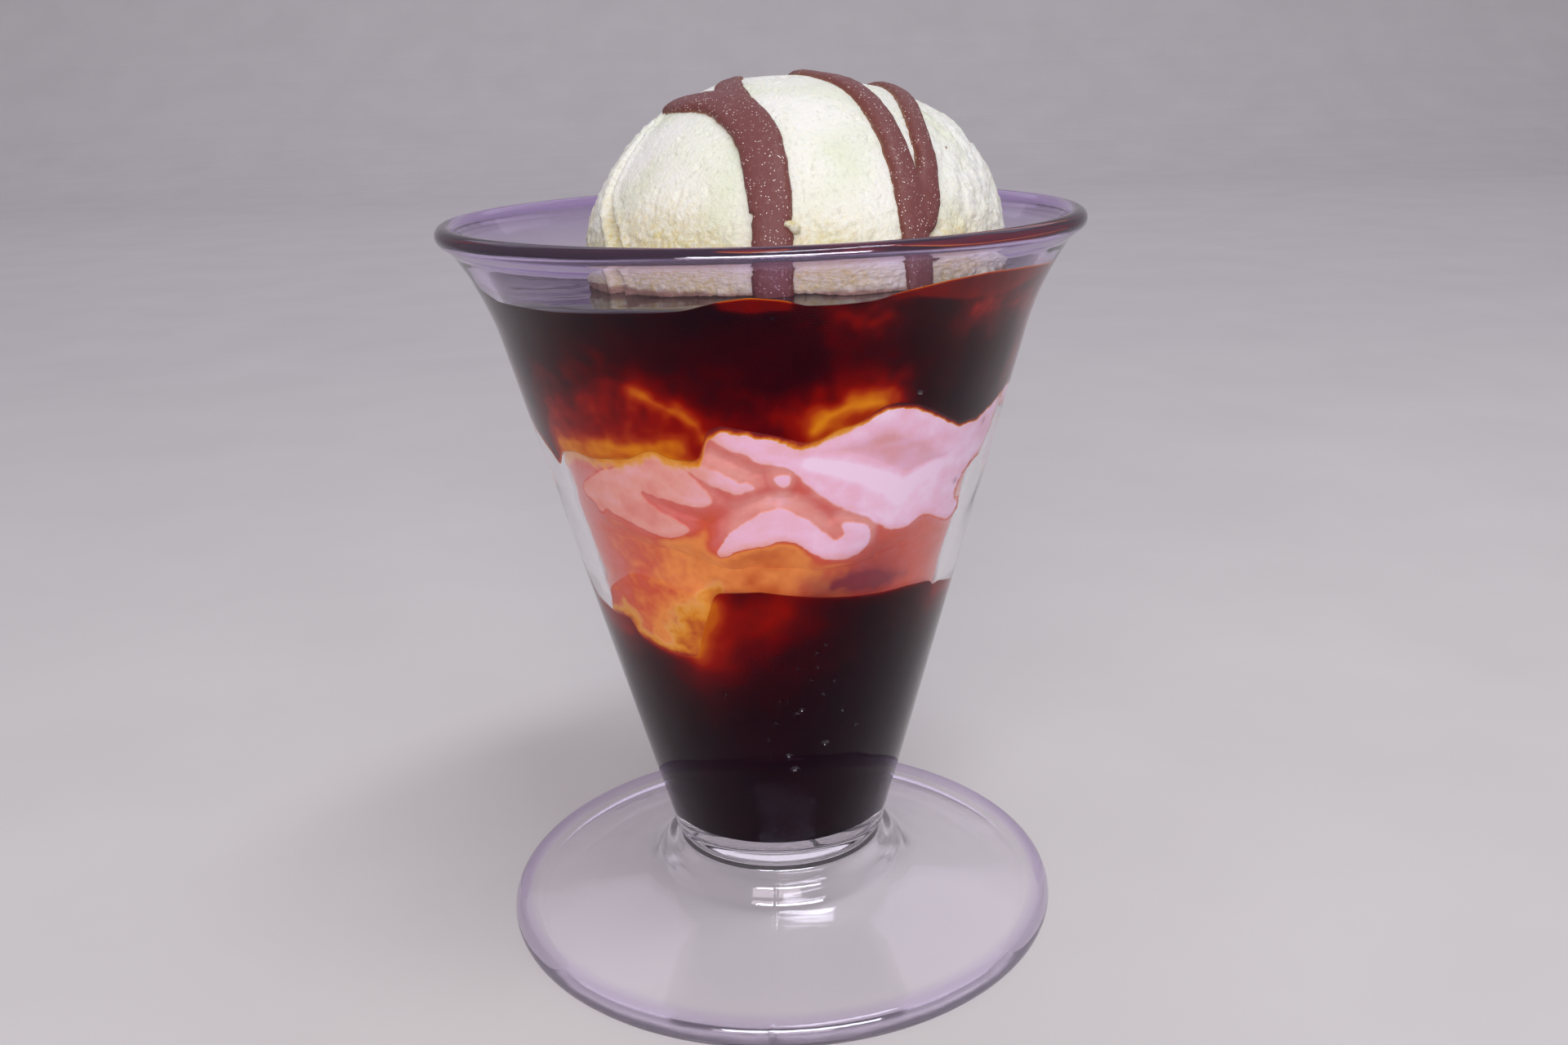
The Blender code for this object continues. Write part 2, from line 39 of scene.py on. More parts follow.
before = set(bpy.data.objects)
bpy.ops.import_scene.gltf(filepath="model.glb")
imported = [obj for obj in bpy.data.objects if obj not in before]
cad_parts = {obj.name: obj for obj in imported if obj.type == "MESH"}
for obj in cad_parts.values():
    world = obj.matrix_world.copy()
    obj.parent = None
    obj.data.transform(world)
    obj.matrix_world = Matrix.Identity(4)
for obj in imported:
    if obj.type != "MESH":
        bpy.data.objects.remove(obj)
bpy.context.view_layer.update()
MM = 0.001

# Glass, as the CAD has it
GLASS_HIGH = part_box("glass")[1]
GLASS_HEIGHT = GLASS_HIGH.z / MM
RIM_RADIUS = GLASS_HIGH.y / MM
BEAD_RADIUS = 1.45
BEAD_CENTRE = (RIM_RADIUS - BEAD_RADIUS, GLASS_HEIGHT - BEAD_RADIUS)
WALL = 2.5
CONE_BASE_Z = 15.9
CONE_BASE_RADIUS = 17.6
CONE_SLOPE = 0.2687
FLARE_START_Z = 98.0
FLARE_OUT = 4.4
FLOOR_Z = 18.0
FLOOR_CORNER = 4.0
FOOT_RADIUS = 45.2
FOOT_EDGE_RADIUS = 2.3
# Hollow of the foot, from its bearing ring in to the axis: (radius, height)
UNDERSIDE = [
    (41.3, 0.0), (39.6, 0.3), (35.0, 1.0), (30.0, 1.7), (25.0, 2.7), (21.0, 4.2), (17.5, 6.8),
    (14.5, 9.4), (11.0, 10.9), (6.0, 11.5), (0.4, 11.6),
]
# Outside below the bowl, down over the collar and out to the foot's edge: (radius, height)
FOOT_OUTLINE = [
    (18.6, 19.6), (17.9, 17.0), (17.5, 15.0), (16.7, 14.0), (17.0, 12.9), (18.9, 11.8), (19.7, 10.4),
    (20.7, 8.6), (23.4, 6.9), (28.0, 5.7), (34.0, 5.0), (39.5, 4.7), (42.6, 4.62),
]
WAIST_Z = 14.5  # the bowl ends and the collar and foot start here
SEAMS = (-3.0, 177.0)  # azimuths of the mould's parting line
SEAM_HEIGHT = 0.14
SEAM_WIDTH = 0.28

# How far the filling reaches into the wall, so that no air shows between them
JELLY_REACH = 0.15
CREAM_REACH = 0.10
LAYER_OVERLAP = 0.5  # how far the creams reach into what they lie on
# How fine the meshes are: columns round the axis and rows up the wall
COLUMNS = 640
LOWER_COLUMNS, LOWER_ROWS = 560, 150
STAINED_ROWS, CREAM_ROWS, UPPER_ROWS = 96, 132, 100
SCOOP_COLUMNS, SCOOP_ROWS = 500, 193
RIBBON_SIDES = 28
FRONT_BIAS = 0.5  # how much closer together columns are in front
# Steps of the upper jelly's top, as shares of the way from the wall to the scoop
STEPS_OFF_WALL = [
    0.004, 0.012, 0.025, 0.045, 0.07, 0.1, 0.14, 0.2, 0.27, 0.35, 0.45, 0.55, 0.65, 0.76, 0.88, 1,
]

# Surfaces between the layers: (azimuth, height) on the wall and at INSIDE of its radius, and the
# height in the middle
INSIDE = 0.88
SHARES_OUT = [0.35, 0.65, 0.8, 0.88, 0.93, 0.965, 0.985, 0.995]  # where a surface has its rings
LOWER_TOP_WALL = [
    (-165, 61.5), (-125, 59.5), (-95, 61.5), (-73.5, 61.0), (-71.5, 58.8), (-59, 57.6), (-50, 57.8),
    (-48.4, 55.4), (-40.6, 53.8), (-33, 53.2), (-25, 53.4), (-23.4, 56.2), (-20.8, 59.4), (-18.2, 62.2),
    (-17.0, 64.2), (-15, 64.8), (-3.7, 65.1), (3, 64.5), (12.4, 63.7), (22, 63.1), (33, 62.7), (43, 62.6),
    (53.7, 62.0), (56.6, 60.8), (60, 61.0), (73.5, 59.2), (110, 60.5), (150, 62.5),
]
LOWER_TOP_INSIDE = [
    (-165, 60.0), (-95, 60.0), (-72, 57.0), (-50, 52.5), (-34, 50.5), (-20, 51.5), (-5, 54.5),
    (10, 57.5), (25, 60.0), (60, 59.5), (110, 59.0), (150, 60.5),
]
LOWER_TOP_MIDDLE = 58.0
STAINED_TOP_WALL = [
    (-160, 70.5), (-110, 68.5), (-80, 70.5), (-55, 72.0), (-40, 72.6), (-25, 71.5), (-10, 69.0),
    (10, 68.4), (30, 69.2), (52, 70.6), (80, 69.0), (125, 68.0), (160, 71.0),
]
STAINED_TOP_INSIDE = [(-180, 68.5), (-90, 69.5), (-35, 68.0), (20, 67.5), (90, 69.0)]
STAINED_TOP_MIDDLE = 68.0
CREAM_TOP_WALL = [
    (-165, 89.5), (-140, 91.0), (-110, 88.0), (-90, 88.5), (-76.6, 86.6), (-66, 83.4), (-62, 81.2),
    (-58, 83.9), (-51.5, 84.7), (-46, 84.2), (-38, 84.7), (-33, 85.1), (-29, 86.4), (-26, 86.7),
    (-22, 85.6), (-17, 85.4), (-15, 86.1), (-13.6, 89.8), (-10, 90.8), (-3.7, 90.0), (1.3, 89.3),
    (8, 87.9), (11.6, 88.3), (15, 89.5), (19.5, 90.1), (24.6, 92.1), (28.3, 92.5), (34.7, 91.7),
    (41, 89.9), (48.5, 87.7), (56, 87.6), (72, 91.0), (95, 90.0), (125, 87.0), (150, 88.5),
]
CREAM_TOP_INSIDE = [
    (-165, 91.0), (-110, 90.0), (-76, 91.0), (-50, 93.0), (-25, 94.0), (-12, 93.5), (-3, 91.5),
    (8, 94.0), (20, 96.0), (30, 94.5), (45, 90.5), (72, 92.5), (125, 89.5),
]
CREAM_TOP_MIDDLE = 92.0
# Upper jelly: where its wet edge ends on the wall, and where the jelly under it turns dark
JELLY_TOP_WALL = [
    (-170, 107.2), (-125, 106.6), (-90, 107.8), (-70, 108.0), (-61, 106.3), (-41.5, 106.1), (-29, 106.4),
    (-18, 106.8), (-14.4, 107.0), (-7, 108.4), (-2.4, 108.8), (3.4, 108.3), (7, 107.4), (13, 107.3),
    (20, 107.5), (23.4, 108.3), (28.1, 108.9), (34, 109.5), (43, 109.9), (55, 109.7), (71, 109.1),
    (90, 108.2), (110, 107.4), (140, 106.8),
]
JELLY_DARK_WALL = [
    (-170, 106.7), (-125, 106.1), (-90, 107.3), (-70, 107.5), (-61, 105.8), (-41.5, 105.7), (-29, 106.0),
    (-18, 106.5), (-12, 107.2), (-7.7, 107.3), (-2.6, 106.7), (1.1, 107.0), (7, 107.0), (13, 106.8),
    (20, 106.9), (27.5, 107.8), (40, 106.4), (51, 106.3), (59, 107.3), (71, 108.2), (90, 107.6),
    (110, 106.9), (140, 106.3),
]
JELLY_LEVEL = [
    (-180, 105.6), (-100, 105.6), (-62, 106.2), (-30, 107.0), (0, 107.5), (45, 107.2), (75, 106.4),
    (120, 105.6),
]

# Where the jelly is thin in front of the cream: (thickness in mm, gain per mm away, stroke),
# a stroke being (azimuth, height, half width in mm)
UPPER_THIN = [
    (5.6, 0.65, [(-54, 90.5, 0.6), (-42, 92.0, 1.6), (-30, 91.6, 2.4), (-20, 89.6, 1.2)]),
    (3.1, 2.2, [(-28, 95.2, 0.0), (-21, 93.0, 0.2), (-15.2, 90.9, 0.3), (-14.0, 88.6, 0.3)]),
    (2.5, 1.4, [(-57, 85.4, 0.2), (-44, 85.9, 0.7), (-32, 86.3, 0.4), (-20, 87.0, 0.5)]),
    (7.2, 0.9, [(-6, 92.2, 0.3), (2, 91.4, 1.2), (8.5, 90.8, 1.4)]),
    (1.9, 1.6, [(9.8, 89.6, 0.3), (12.8, 91.6, 0.4), (18, 92.9, 0.5), (25.0, 92.8, 0.1)]),
    (6.6, 0.9, [(13, 105.4, 0.6), (22, 105.2, 1.0)]),
    (6.3, 0.9, [(44, 104.6, 0.4), (60, 105.2, 1.0), (78, 103.6, 1.6)]),
    (6.6, 0.8, [(70, 93, 0.8), (76, 99, 2.0)]),
    (6.4, 0.7, [(-80, 92, 1.0), (-84, 99, 1.6)]),
    (5.5, 0.9, [(112, 91, 1.0), (128, 90, 1.5)]),
    (2.4, 1.2, [(150, 90.5, 0.6), (164, 91.5, 0.8)]),
    (5.0, 0.8, [(-135, 93.5, 1.0), (-118, 91.5, 1.6)]),
]
LOWER_THIN = [
    (2.9, 1.3, [(-25.0, 53.6, 0.1), (-22.0, 57.0, 0.5), (-19.2, 60.0, 0.6), (-17.4, 62.6, 0.2)]),
    (5.6, 0.65, [(-20, 55.5, 0.8), (-13, 59.2, 2.0), (-4, 60.8, 1.8), (2, 62.0, 0.8)]),
    (5.0, 1.1, [(60, 59.6, 0.2), (74, 58.4, 0.5)]),
    (5.4, 0.9, [(-66, 56.8, 0.6), (-54, 55.8, 0.8)]),
    (4.6, 0.8, [(126, 58.2, 0.8), (148, 61.0, 0.8)]),
]
# Extra darkness of each jelly's edge on the cream, in mm of jelly, by azimuth
LOWER_EDGE_DARK = [
    (-180, 4.0), (-75, 4.0), (-62, 3.0), (-45, 2.6), (-28, 2.2), (-25, 0.6), (-20, 0.6), (-17, 3.0),
    (-14, 6.0), (100, 5.0),
]
UPPER_EDGE_DARK = [
    (-180, 1.5), (-72, 1.5), (-60, 0.6), (-22, 0.6), (-16, 1.0), (-12, 5.5), (4, 5.5), (8, 2.0),
    (12, 0.8), (18, 1.0), (23, 3.5), (29, 9.0), (72, 9.0), (100, 3.0),
]
# How ragged coffee makes the cream's upper edge, by azimuth: 1 is a band of about 1.3 mm
UPPER_FUZZ = [(-180, 0.6), (-75, 0.8), (-55, 1.6), (-22, 1.6), (-12, 0.7), (10, 0.9), (28, 0.5), (100, 0.5)]
JELLY_DEPTH = 15.0  # past this much jelly, nothing behind it shows
FILM_COVERS = 1.4  # past this much coffee on cream, its colour covers the cream's

# Cream pressed on the wall in front: closed outlines of (azimuth, height)
LEFT_LOBE = [
    (-52.6, 79.4), (-46.7, 81.6), (-36.0, 83.8), (-31.4, 84.9), (-27.7, 86.4), (-23.2, 85.4), (-18.8, 84.0),
    (-15.8, 81.4), (-13.2, 79.2), (-17.3, 78.5), (-24.0, 79.1), (-33.6, 80.7), (-30.8, 78.3), (-24.9, 76.4),
    (-19.6, 74.9), (-24.0, 73.5), (-29.4, 73.2), (-36.1, 74.5), (-42.8, 75.7), (-45.9, 76.8), (-48.2, 75.2),
    (-49.4, 77.2), (-52.9, 77.8),
]
MID_STREAK = [
    (-20.6, 85.9), (-16.9, 85.2), (-11.3, 84.0), (-7.0, 82.4), (-5.6, 81.0), (-7.2, 80.4), (-11.7, 81.4),
    (-16.6, 82.9), (-19.6, 84.5),
]
RIGHT_PATCH = [
    (-14.2, 90.0), (-10.6, 87.9), (-6.3, 86.9), (-2.6, 85.5), (1.2, 84.9), (4.1, 84.7), (6.7, 83.1),
    (10.3, 80.7), (15.1, 78.3), (23.4, 76.1), (28.8, 74.5), (31.4, 73.1), (38.1, 72.8), (41.2, 74.3),
    (46.4, 74.0), (52.5, 71.8), (57.6, 72.4), (58.4, 74.4), (55.0, 75.4), (54.6, 77.6), (58.3, 80.2),
    (63.0, 81.2), (66.0, 84.6), (68.5, 89.4), (62.0, 92.0), (48.0, 91.0), (35.6, 94.0), (26.0, 95.0),
    (14.0, 92.0), (3.0, 92.0), (-12.0, 93.0),
]
HOOK = [
    (-14.6, 71.0), (-11.0, 74.0), (-6.0, 76.4), (-0.2, 78.2), (4.8, 77.9), (9.2, 76.3), (13.7, 73.5),
    (16.6, 72.5), (19.6, 73.4), (17.6, 75.4), (22.6, 75.0), (25.6, 74.0), (26.4, 72.4), (24.6, 70.3),
    (20.5, 69.4), (15.2, 69.5), (10.0, 71.2), (6.0, 72.9), (2.2, 73.3), (-2.1, 72.6), (-7.9, 71.8),
    (-11.9, 70.7),
]
DOT = [(1.2, 83.3), (4.3, 83.4), (5.2, 82.2), (3.0, 81.4), (1.2, 82.1)]
SMALL_DOT = [(-8.0, 82.2), (-4.4, 82.3), (-3.0, 81.5), (-5.2, 80.9), (-7.8, 81.3)]
FRONT_PATCHES = (LEFT_LOBE, MID_STREAK, RIGHT_PATCH, HOOK, DOT, SMALL_DOT)
# A shallow hollow in the right smear: a small dent, and inside it the cream is drawn more soaked and darker,
# as painted shade.
POCKET = [
    (10.4, 86.5), (18.3, 88.1), (27.4, 90.0), (33.9, 88.1), (41.3, 86.5), (43.4, 84.9), (49.4, 83.6),
    (47.7, 81.4), (40.2, 81.4), (34.3, 80.2), (30.2, 81.4), (24.1, 83.2), (19.0, 84.6), (13.5, 85.8),
]
# Painted highlight: a line along which the pressed cream is drawn lighter, as if lit on a ridge. Strokes of
# (azimuth, height, half width in mm)
PAINTED_RIDGE_HIGHLIGHT = [
    (9, 84.9, 0.1), (17, 83.4, 0.3), (24, 81.9, 0.5), (30, 80.2, 0.6), (33, 78.2, 0.3), (37, 80.6, 0.3),
    (44, 81.6, 0.2),
]
# Painted shade: over these rows the cream's colour stays lighter above a smear, while straight under a smear
# it darkens at once.
SLOPE_ROWS = 8  # rows of the cream's grid, of about 0.17 mm, over which it slopes off above a smear
# The same round the sides and back, as strokes
BACK_STROKES = [
    [(84, 80.0, 4.0), (104, 76.5, 3.0), (118, 79.5, 2.4)],
    [(128, 84.5, 2.6), (146, 79.0, 4.2), (166, 76.5, 3.4)],
    [(-176, 85.0, 3.0), (-158, 79.5, 3.6), (-140, 77.5, 2.2)],
    [(-124, 84.0, 3.8), (-104, 78.0, 3.4), (-90, 77.0, 2.0)],
    [(72, 89.0, 1.4), (95, 88.2, 1.6), (112, 85.6, 1.2)],
    [(-118, 87.0, 1.2), (-98, 86.0, 1.8), (-80, 85.5, 0.8)],
]
# How far the cream stands back from the wall, by azimuth: most in front
RECESS = [(-180, 0.6), (-70, 0.5), (-42, 0.75), (0, 0.85), (35, 0.8), (62, 0.45), (100, 0.6)]
LOBE_CENTRE = (-37.0, 57.5)
LOBE_HALF = (20.0, 8.0)
FROTH_CENTRE = (-24.5, 56.5)  # the coffee froth in the lobe's lower right
FROTH_HALF = (8.5, 6.0)
LOBE_EDGE = [(azimuth, z, 0.0) for azimuth, z in LOWER_TOP_WALL if -60 < azimuth < -14]
# How soaked with coffee the cream is, from 0, fresh, to 1: (azimuth, height, half widths, amount)
SOAKED = [
    (-64, 75, 9, 8, 0.46), (-46, 67, 8, 6, 0.56), (-37, 67, 5, 5, 0.58), (-22, 68, 6, 5, 0.70),
    (-30, 60, 8, 6, 0.69), (-47, 60, 4, 4, 0.56), (-3, 69, 10, 3, 0.78), (14, 67, 8, 3, 0.62),
    (28, 71, 9, 3.5, 0.54), (48, 68, 10, 5, 0.51), (6, 80, 15, 4, 0.47), (-25, 79, 10, 2.5, 0.53),
    (-8, 86, 6, 2, 0.40), (1, 79.4, 8, 1.0, 0.30),
    (72, 76, 8, 8, 0.40), (110, 68, 22, 8, 0.66), (165, 66, 26, 8, 0.78), (-125, 66, 28, 8, 0.66),
    (140, 86, 30, 6, 0.42), (-140, 84, 30, 6, 0.46),
]
FRESHNESS = [
    (-180, 0.12), (-90, 0.26), (-50, 0.29), (-22, 0.30), (-12, 0.15), (12, 0.09), (45, 0.05), (90, 0.04),
]

# Where the cream is drawn darker, towards dark red: (azimuth, height, half widths, amount). The last two
# spots are painted shade in small dimples.
DARK_SPOTS_AND_SHADE = [
    (30, 69, 10, 3.5, 0.36), (50, 66, 8, 3.0, 0.08), (29, 64.6, 12, 3.2, 0.78), (13, 64.4, 7, 3.0, 0.55),
    (-58, 60.5, 5, 2.0, 0.18), (53.5, 78.1, 1.0, 0.5, 0.45), (60.7, 86.4, 0.9, 0.6, 0.45),
]
DARK_LENS = [
    (16, 64.6), (19, 66.6), (25, 66.9), (31, 66.3), (38, 65.5), (46, 64.5), (38, 63.9), (30, 63.6),
    (20, 64.0),
]

# Bubbles caught against the wall: (azimuth, height, half width, half height), in mm but the first
BUBBLES = [
    (7.2, 43.6, 0.5, 0.4), (9.0, 44.2, 0.45, 0.35), (19.2, 37.5, 0.8, 0.5), (6.9, 33.2, 0.75, 0.5),
    (4.4, 35.8, 0.6, 0.45), (-0.5, 41.8, 0.3, 0.3), (-3.3, 38.7, 0.28, 0.28), (-2.6, 36.2, 0.3, 0.25),
    (11.9, 49.3, 0.25, 0.25), (14.2, 51.6, 0.3, 0.25), (20.2, 48.6, 0.3, 0.3), (16.7, 46.6, 0.3, 0.3),
    (4.1, 45.9, 0.3, 0.25), (1.5, 45.9, 0.25, 0.22), (7.4, 51.6, 0.3, 0.25), (32.3, 39.6, 0.35, 0.3),
    (13.3, 54.1, 0.3, 0.25), (15.9, 55.4, 0.25, 0.22), (25.0, 43.0, 0.3, 0.25), (-18.0, 47.0, 0.3, 0.28),
    (33.8, 93.5, 0.4, 0.4), (1.3, 105.9, 0.3, 0.3), (84.0, 47.0, 0.5, 0.4), (101.0, 40.0, 0.6, 0.45),
    (150.0, 52.0, 0.5, 0.4), (-150.0, 44.0, 0.6, 0.4), (-110.0, 50.0, 0.4, 0.35), (175.0, 35.0, 0.6, 0.45),
]
BUBBLE_DEPTH = 0.55

# Scoop and its sauce: points on it are (angle from its top, azimuth round its own axis)
SCOOP_BASE_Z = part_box("ice_cream")[0].z / MM
SCOOP_X = 5.2
SCOOP_RADIUS = 31.6
SCOOP_HEIGHT = 27.4
SCOOP_WIDEST_Z = 107.4
SCOOP_MIDDLE = np.array([SCOOP_X, 0.0, SCOOP_WIDEST_Z])
SCOOP_AXES = np.array([SCOOP_RADIUS, SCOOP_RADIUS, SCOOP_HEIGHT])
# Below about this height the scoop's foot is drawn grey-brown: coffee it has soaked up, and partly painted
# shade low down by the jelly.
FOOT_STAIN_AND_SHADE_Z = 108.4  # the scoop is wet with coffee up to here
FOLD_DEPTH = 1.3
FOLD = [
    (35, -84, 0.6), (46, -72, 0.8), (56.5, -69, 1.0), (64, -67.5, 1.1), (69, -65, 1.2), (75, -59, 1.3),
    (80.4, -55, 1.5), (88, -52, 1.6),
]
# Where the scoop is flatter than its ellipsoid, or fuller: bells of (centre, depth, spread in mm)
FLATS = [((11, 90), 1.0, 6.5), ((47, 95), -1.0, 7.5)]
# Ribbons of sauce: points on the scoop with half width and height in mm
RIBBON_SINK = 1.2
SIDE_RIBBON = [
    (35, -86, 1.6, 0.9), (32.2, -62, 2.1, 1.1), (31.2, -46, 2.5, 1.2), (34, -29, 3.0, 1.25),
    (46, -13.5, 3.1, 1.25), (58, -9.4, 3.0, 1.25), (66, -7.9, 2.9, 1.25), (70, -7.4, 2.85, 1.25),
    (72.6, -8.6, 2.1, 1.25), (75.5, -7.4, 2.8, 1.25), (80, -7.2, 2.7, 1.25), (88, -7.2, 2.7, 1.25),
    (94, -7.2, 2.4, 1.25),
]
LOOP_RIBBON = [
    (36, -25, 1.9, 1.1), (30.5, -31, 2.3, 1.1), (25, -43, 2.2, 1.0), (18.5, -68, 1.9, 0.6),
    (16.5, -100, 1.7, 0.4), (22, -130, 1.7, 0.5), (28, -155, 1.7, 0.6), (24, -178, 1.7, 0.8),
    (14, 172, 1.7, 1.0), (4, 100, 1.7, 1.0), (11, 46, 1.7, 1.0), (23, 38, 1.8, 1.2),
    (39.5, 33.8, 1.9, 1.25), (56, 31, 2.0, 1.25), (68, 30.0, 2.3, 1.25), (79, 29.0, 2.15, 1.25),
    (88, 28.6, 2.0, 1.25), (94, 28.6, 1.8, 1.25),
]
BACK_RIBBON = [
    (77, 30.6, 1.2, 1.1), (71, 33.6, 2.2, 1.2), (58, 40, 1.7, 1.2), (44, 48.5, 1.6, 1.0),
    (31.5, 69, 1.7, 0.9), (26.5, 97, 1.8, 0.8), (29, 126, 1.6, 0.8), (39.5, 145, 1.7, 1.2),
    (56, 151, 1.9, 1.2), (68, 154, 2.0, 1.2), (76, 155.5, 2.1, 1.2),
]
SPECK = [(52.4, 54.3, 0.35, 0.35), (53.2, 55.3, 0.4, 0.4)]
DRIP = [(74.6, -0.6, 0.9, 0.7), (73.1, -1.9, 0.8, 1.2), (72.5, -3.2, 0.5, 1.5), (73.2, -4.5, 0.3, 1.4)]
# Where melt gathers on the scoop: (angle from its top, azimuth, radius in mm, amount)
MELT_SPOTS = [
    (82, 3, 5.0, 0.9), (84, 14, 5.0, 0.5), (84, 39, 4.5, 1.0), (80, 47, 3.5, 0.6), (84, -42, 9.0, 0.8),
    (72.6, -4.2, 1.1, 1.0), (84, -28, 7.0, 0.4),
]

# Floor, light and camera, in metres. Lamps: (name, place, point faced, sides, watts, colour)
LAMPS = [
    ("key", (0.2, -0.25, 0.86), (0.0, 0.0, 0.07), (0.5, 0.14), 2.7, "F8FCFF"),
    ("fill", (-0.1, -1.05, 0.5), (0.0, 0.0, 0.07), (0.9, 0.34), 6.6, "FFF8F4"),
    ("back", (0.0, 1.2, 1.1), (0.0, 1.0, 0.0), (2.4, 1.0), 5.0, "EEE6FA"),
    ("strip", (0.1, -0.9, 0.62), (0.0, -0.05, 0.1), (1.1, 0.22), 27.0, "F4F8FF"),
]
SKY_COLOUR = "CFCAD6"
SKY_STRENGTH = 0.5
CAMERA_PLACE = (0.0, -0.2240, 0.1354)
CAMERA_PITCH, CAMERA_ROLL, CAMERA_YAW = 0.3006, 0.0290, 0.0094  # radians
LENS_MM, SENSOR_MM = 33.75, 36.0

# Noises by name: parts of (amount, size of the lumps in mm, seed, stretch along x, y and z)
GRAIN = {
    "glass waves": [(0.035, 16.0, 3)],
    "jelly wobble": [(0.7, 5.0, 11), (0.35, 2.0, 12)],
    "jelly mottle": [(0.26, 2.6, 13), (0.14, 1.1, 14)],
    "smear wobble": [(0.28, 2.6, 21), (0.2, 1.0, 22), (0.08, 0.5, 23)],
    "ragged lens": [(0.5, 1.6, 49), (0.25, 0.7, 50)],
    "lobe edge": [(0.15, 4.0, 31)],
    "slack folds": [(0.16, 6.0, 32, (1, 1, 0.6)), (0.07, 2.2, 33)],
    "froth grains": [(1.0, 1.1, 34), (0.6, 0.55, 36)],
    "froth clumps": [(1.0, 2.6, 38)],
    "stain clouds": [(0.07, 3.4, 35, (1, 1, 1.4)), (0.04, 1.4, 39), (0.02, 0.7, 37)],
    "cream folds": [(0.26, 5.0, 42, (1, 1, 0.5)), (0.12, 1.8, 43, (1.5, 1.5, 0.7))],
    "cream streaks": [(1.0, 1.3, 48, (4.0, 4.0, 0.9))],
    "cream clouds": [(0.04, 4.0, 44, (1.5, 1.5, 0.6))],
    "loose clouds": [(0.04, 2.5, 45)],
    "cream fuzz": [(0.5, 1.6, 46), (0.2, 0.5, 47)],
    "jelly top": [(0.3, 9.0, 51), (0.06, 3.5, 52)],
    "scoop lumps": [(0.3, 9.0, 61), (0.1, 3.6, 62, (1, 1, 1.8))],
    "scoop pores": [(1.0, 1.0, 63, (1, 1, 2.8)), (0.6, 0.55, 64, (1, 1, 2.2))],
    "scoop grains": [(0.05, 0.5, 65)],
    "foot grains": [(0.14, 0.9, 66), (0.14, 0.55, 67)],
    "scoop chips": [(1.0, 2.1, 68, (1, 1, 1.4)), (0.5, 1.1, 69)],
    "fold crumbs": [(0.34, 1.2, 70)],
    "melt edge": [(7.0, 5.0, 71)],
    "stain edge": [(0.35, 2.4, 72)],
    "sauce skin": [(0.05, 1.3, 95), (0.03, 0.7, 96)],
}


# ---- Numbers -------------------------------------------------------------------------------


def smooth_step(value):
    """0 below 0, 1 above 1, and 3v² − 2v³ between."""
    value = np.clip(value, 0.0, 1.0)
    return value * value * (3.0 - 2.0 * value)


def around(marks, azimuth, blur=0.7):
    """Value round the wall: straight runs between the marks, softened by a bell of blur degrees."""
    steps = np.arange(-180.0, 180.0, 0.25)
    marked = np.array(marks, dtype=float)
    runs = np.interp(steps, marked[:, 0], marked[:, 1], period=360)
    distance = np.minimum(np.arange(steps.size), steps.size - np.arange(steps.size)) * 0.25
    bell = np.exp(-0.5 * (distance / blur) ** 2)
    soft = np.fft.ifft(np.fft.fft(runs) * np.fft.fft(bell / bell.sum())).real
    return np.interp(azimuth, steps, soft, period=360)


def noise(points, size, seed, stretch=(1.0, 1.0, 1.0)):
    """Gradient noise from about −1 to 1.

    Space is cut in cubes of this size in mm, longer by stretch. Each corner has a random slope,
    and a point blends the heights that its cube's eight slopes give it.
    """
    count = 32
    slopes = np.random.default_rng(seed).normal(size=(count, count, count, 3))
    slopes /= np.linalg.norm(slopes, axis=-1, keepdims=True)
    place = points / (size * np.array(stretch))
    cell = np.floor(place).astype(int)
    offset = place - cell
    blend = smooth_step(offset)
    total = np.zeros(points.shape[:-1])
    for corner in itertools.product((0, 1), repeat=3):
        at = (cell + corner) % count
        slope = slopes[at[..., 0], at[..., 1], at[..., 2]]
        weight = np.prod(np.where(np.array(corner, dtype=bool), blend, 1.0 - blend), axis=-1)
        total += weight * np.sum(slope * (offset - corner), axis=-1)
    return 1.6 * total


def uneven(points, name):
    """Sum of the noises that GRAIN has under this name."""
    return sum(amount * noise(points, *rest) for amount, *rest in GRAIN[name])


def turn_from(start, azimuth):
    """Turn from start to azimuth, in degrees between −180 and 180."""
    return (azimuth - start + 180.0) % 360.0 - 180.0


def spot_bell(spot, azimuth, z):
    """A bell over a spot of (azimuth, height, half width, half height, …): exp(−u² − v²)."""
    middle, height, half_width, half_height = spot[:4]
    return np.exp(-((turn_from(middle, azimuth) / half_width) ** 2) - ((z - height) / half_height) ** 2)


def polar(azimuth, radius, height, axis_x=0.0):
    """Points at these azimuths in degrees, radii and heights, round an upright axis at axis_x."""
    turn = np.radians(azimuth)
    x, y = axis_x + radius * np.sin(turn), -radius * np.cos(turn)
    return np.stack(np.broadcast_arrays(x, y, height), axis=-1)


def front_azimuths(count):
    """Columns once round, closer together in front: azimuth = 180 (u − bias · sin(πu) / π)."""
    u = np.arange(count) * 2.0 / count - 1.0
    return 180.0 * (u - FRONT_BIAS * np.sin(np.pi * u) / np.pi)


def through(knots, steps):
    """A Catmull-Rom cubic through the knots, with this many steps between each two."""
    knots = np.array(knots, dtype=float)
    knots = np.vstack([2 * knots[0] - knots[1], knots, 2 * knots[-1] - knots[-2]])
    t = np.linspace(0.0, 1.0, steps, endpoint=False)[:, None, None]
    a, b, c, d = knots[:-3], knots[1:-2], knots[2:-1], knots[3:]
    cubic = b + 0.5 * t * (c - a + t * (2 * a - 5 * b + 4 * c - d + t * (3 * (b - c) + d - a)))
    return np.vstack([cubic.transpose(1, 0, 2).reshape(-1, knots.shape[1]), knots[-2]])


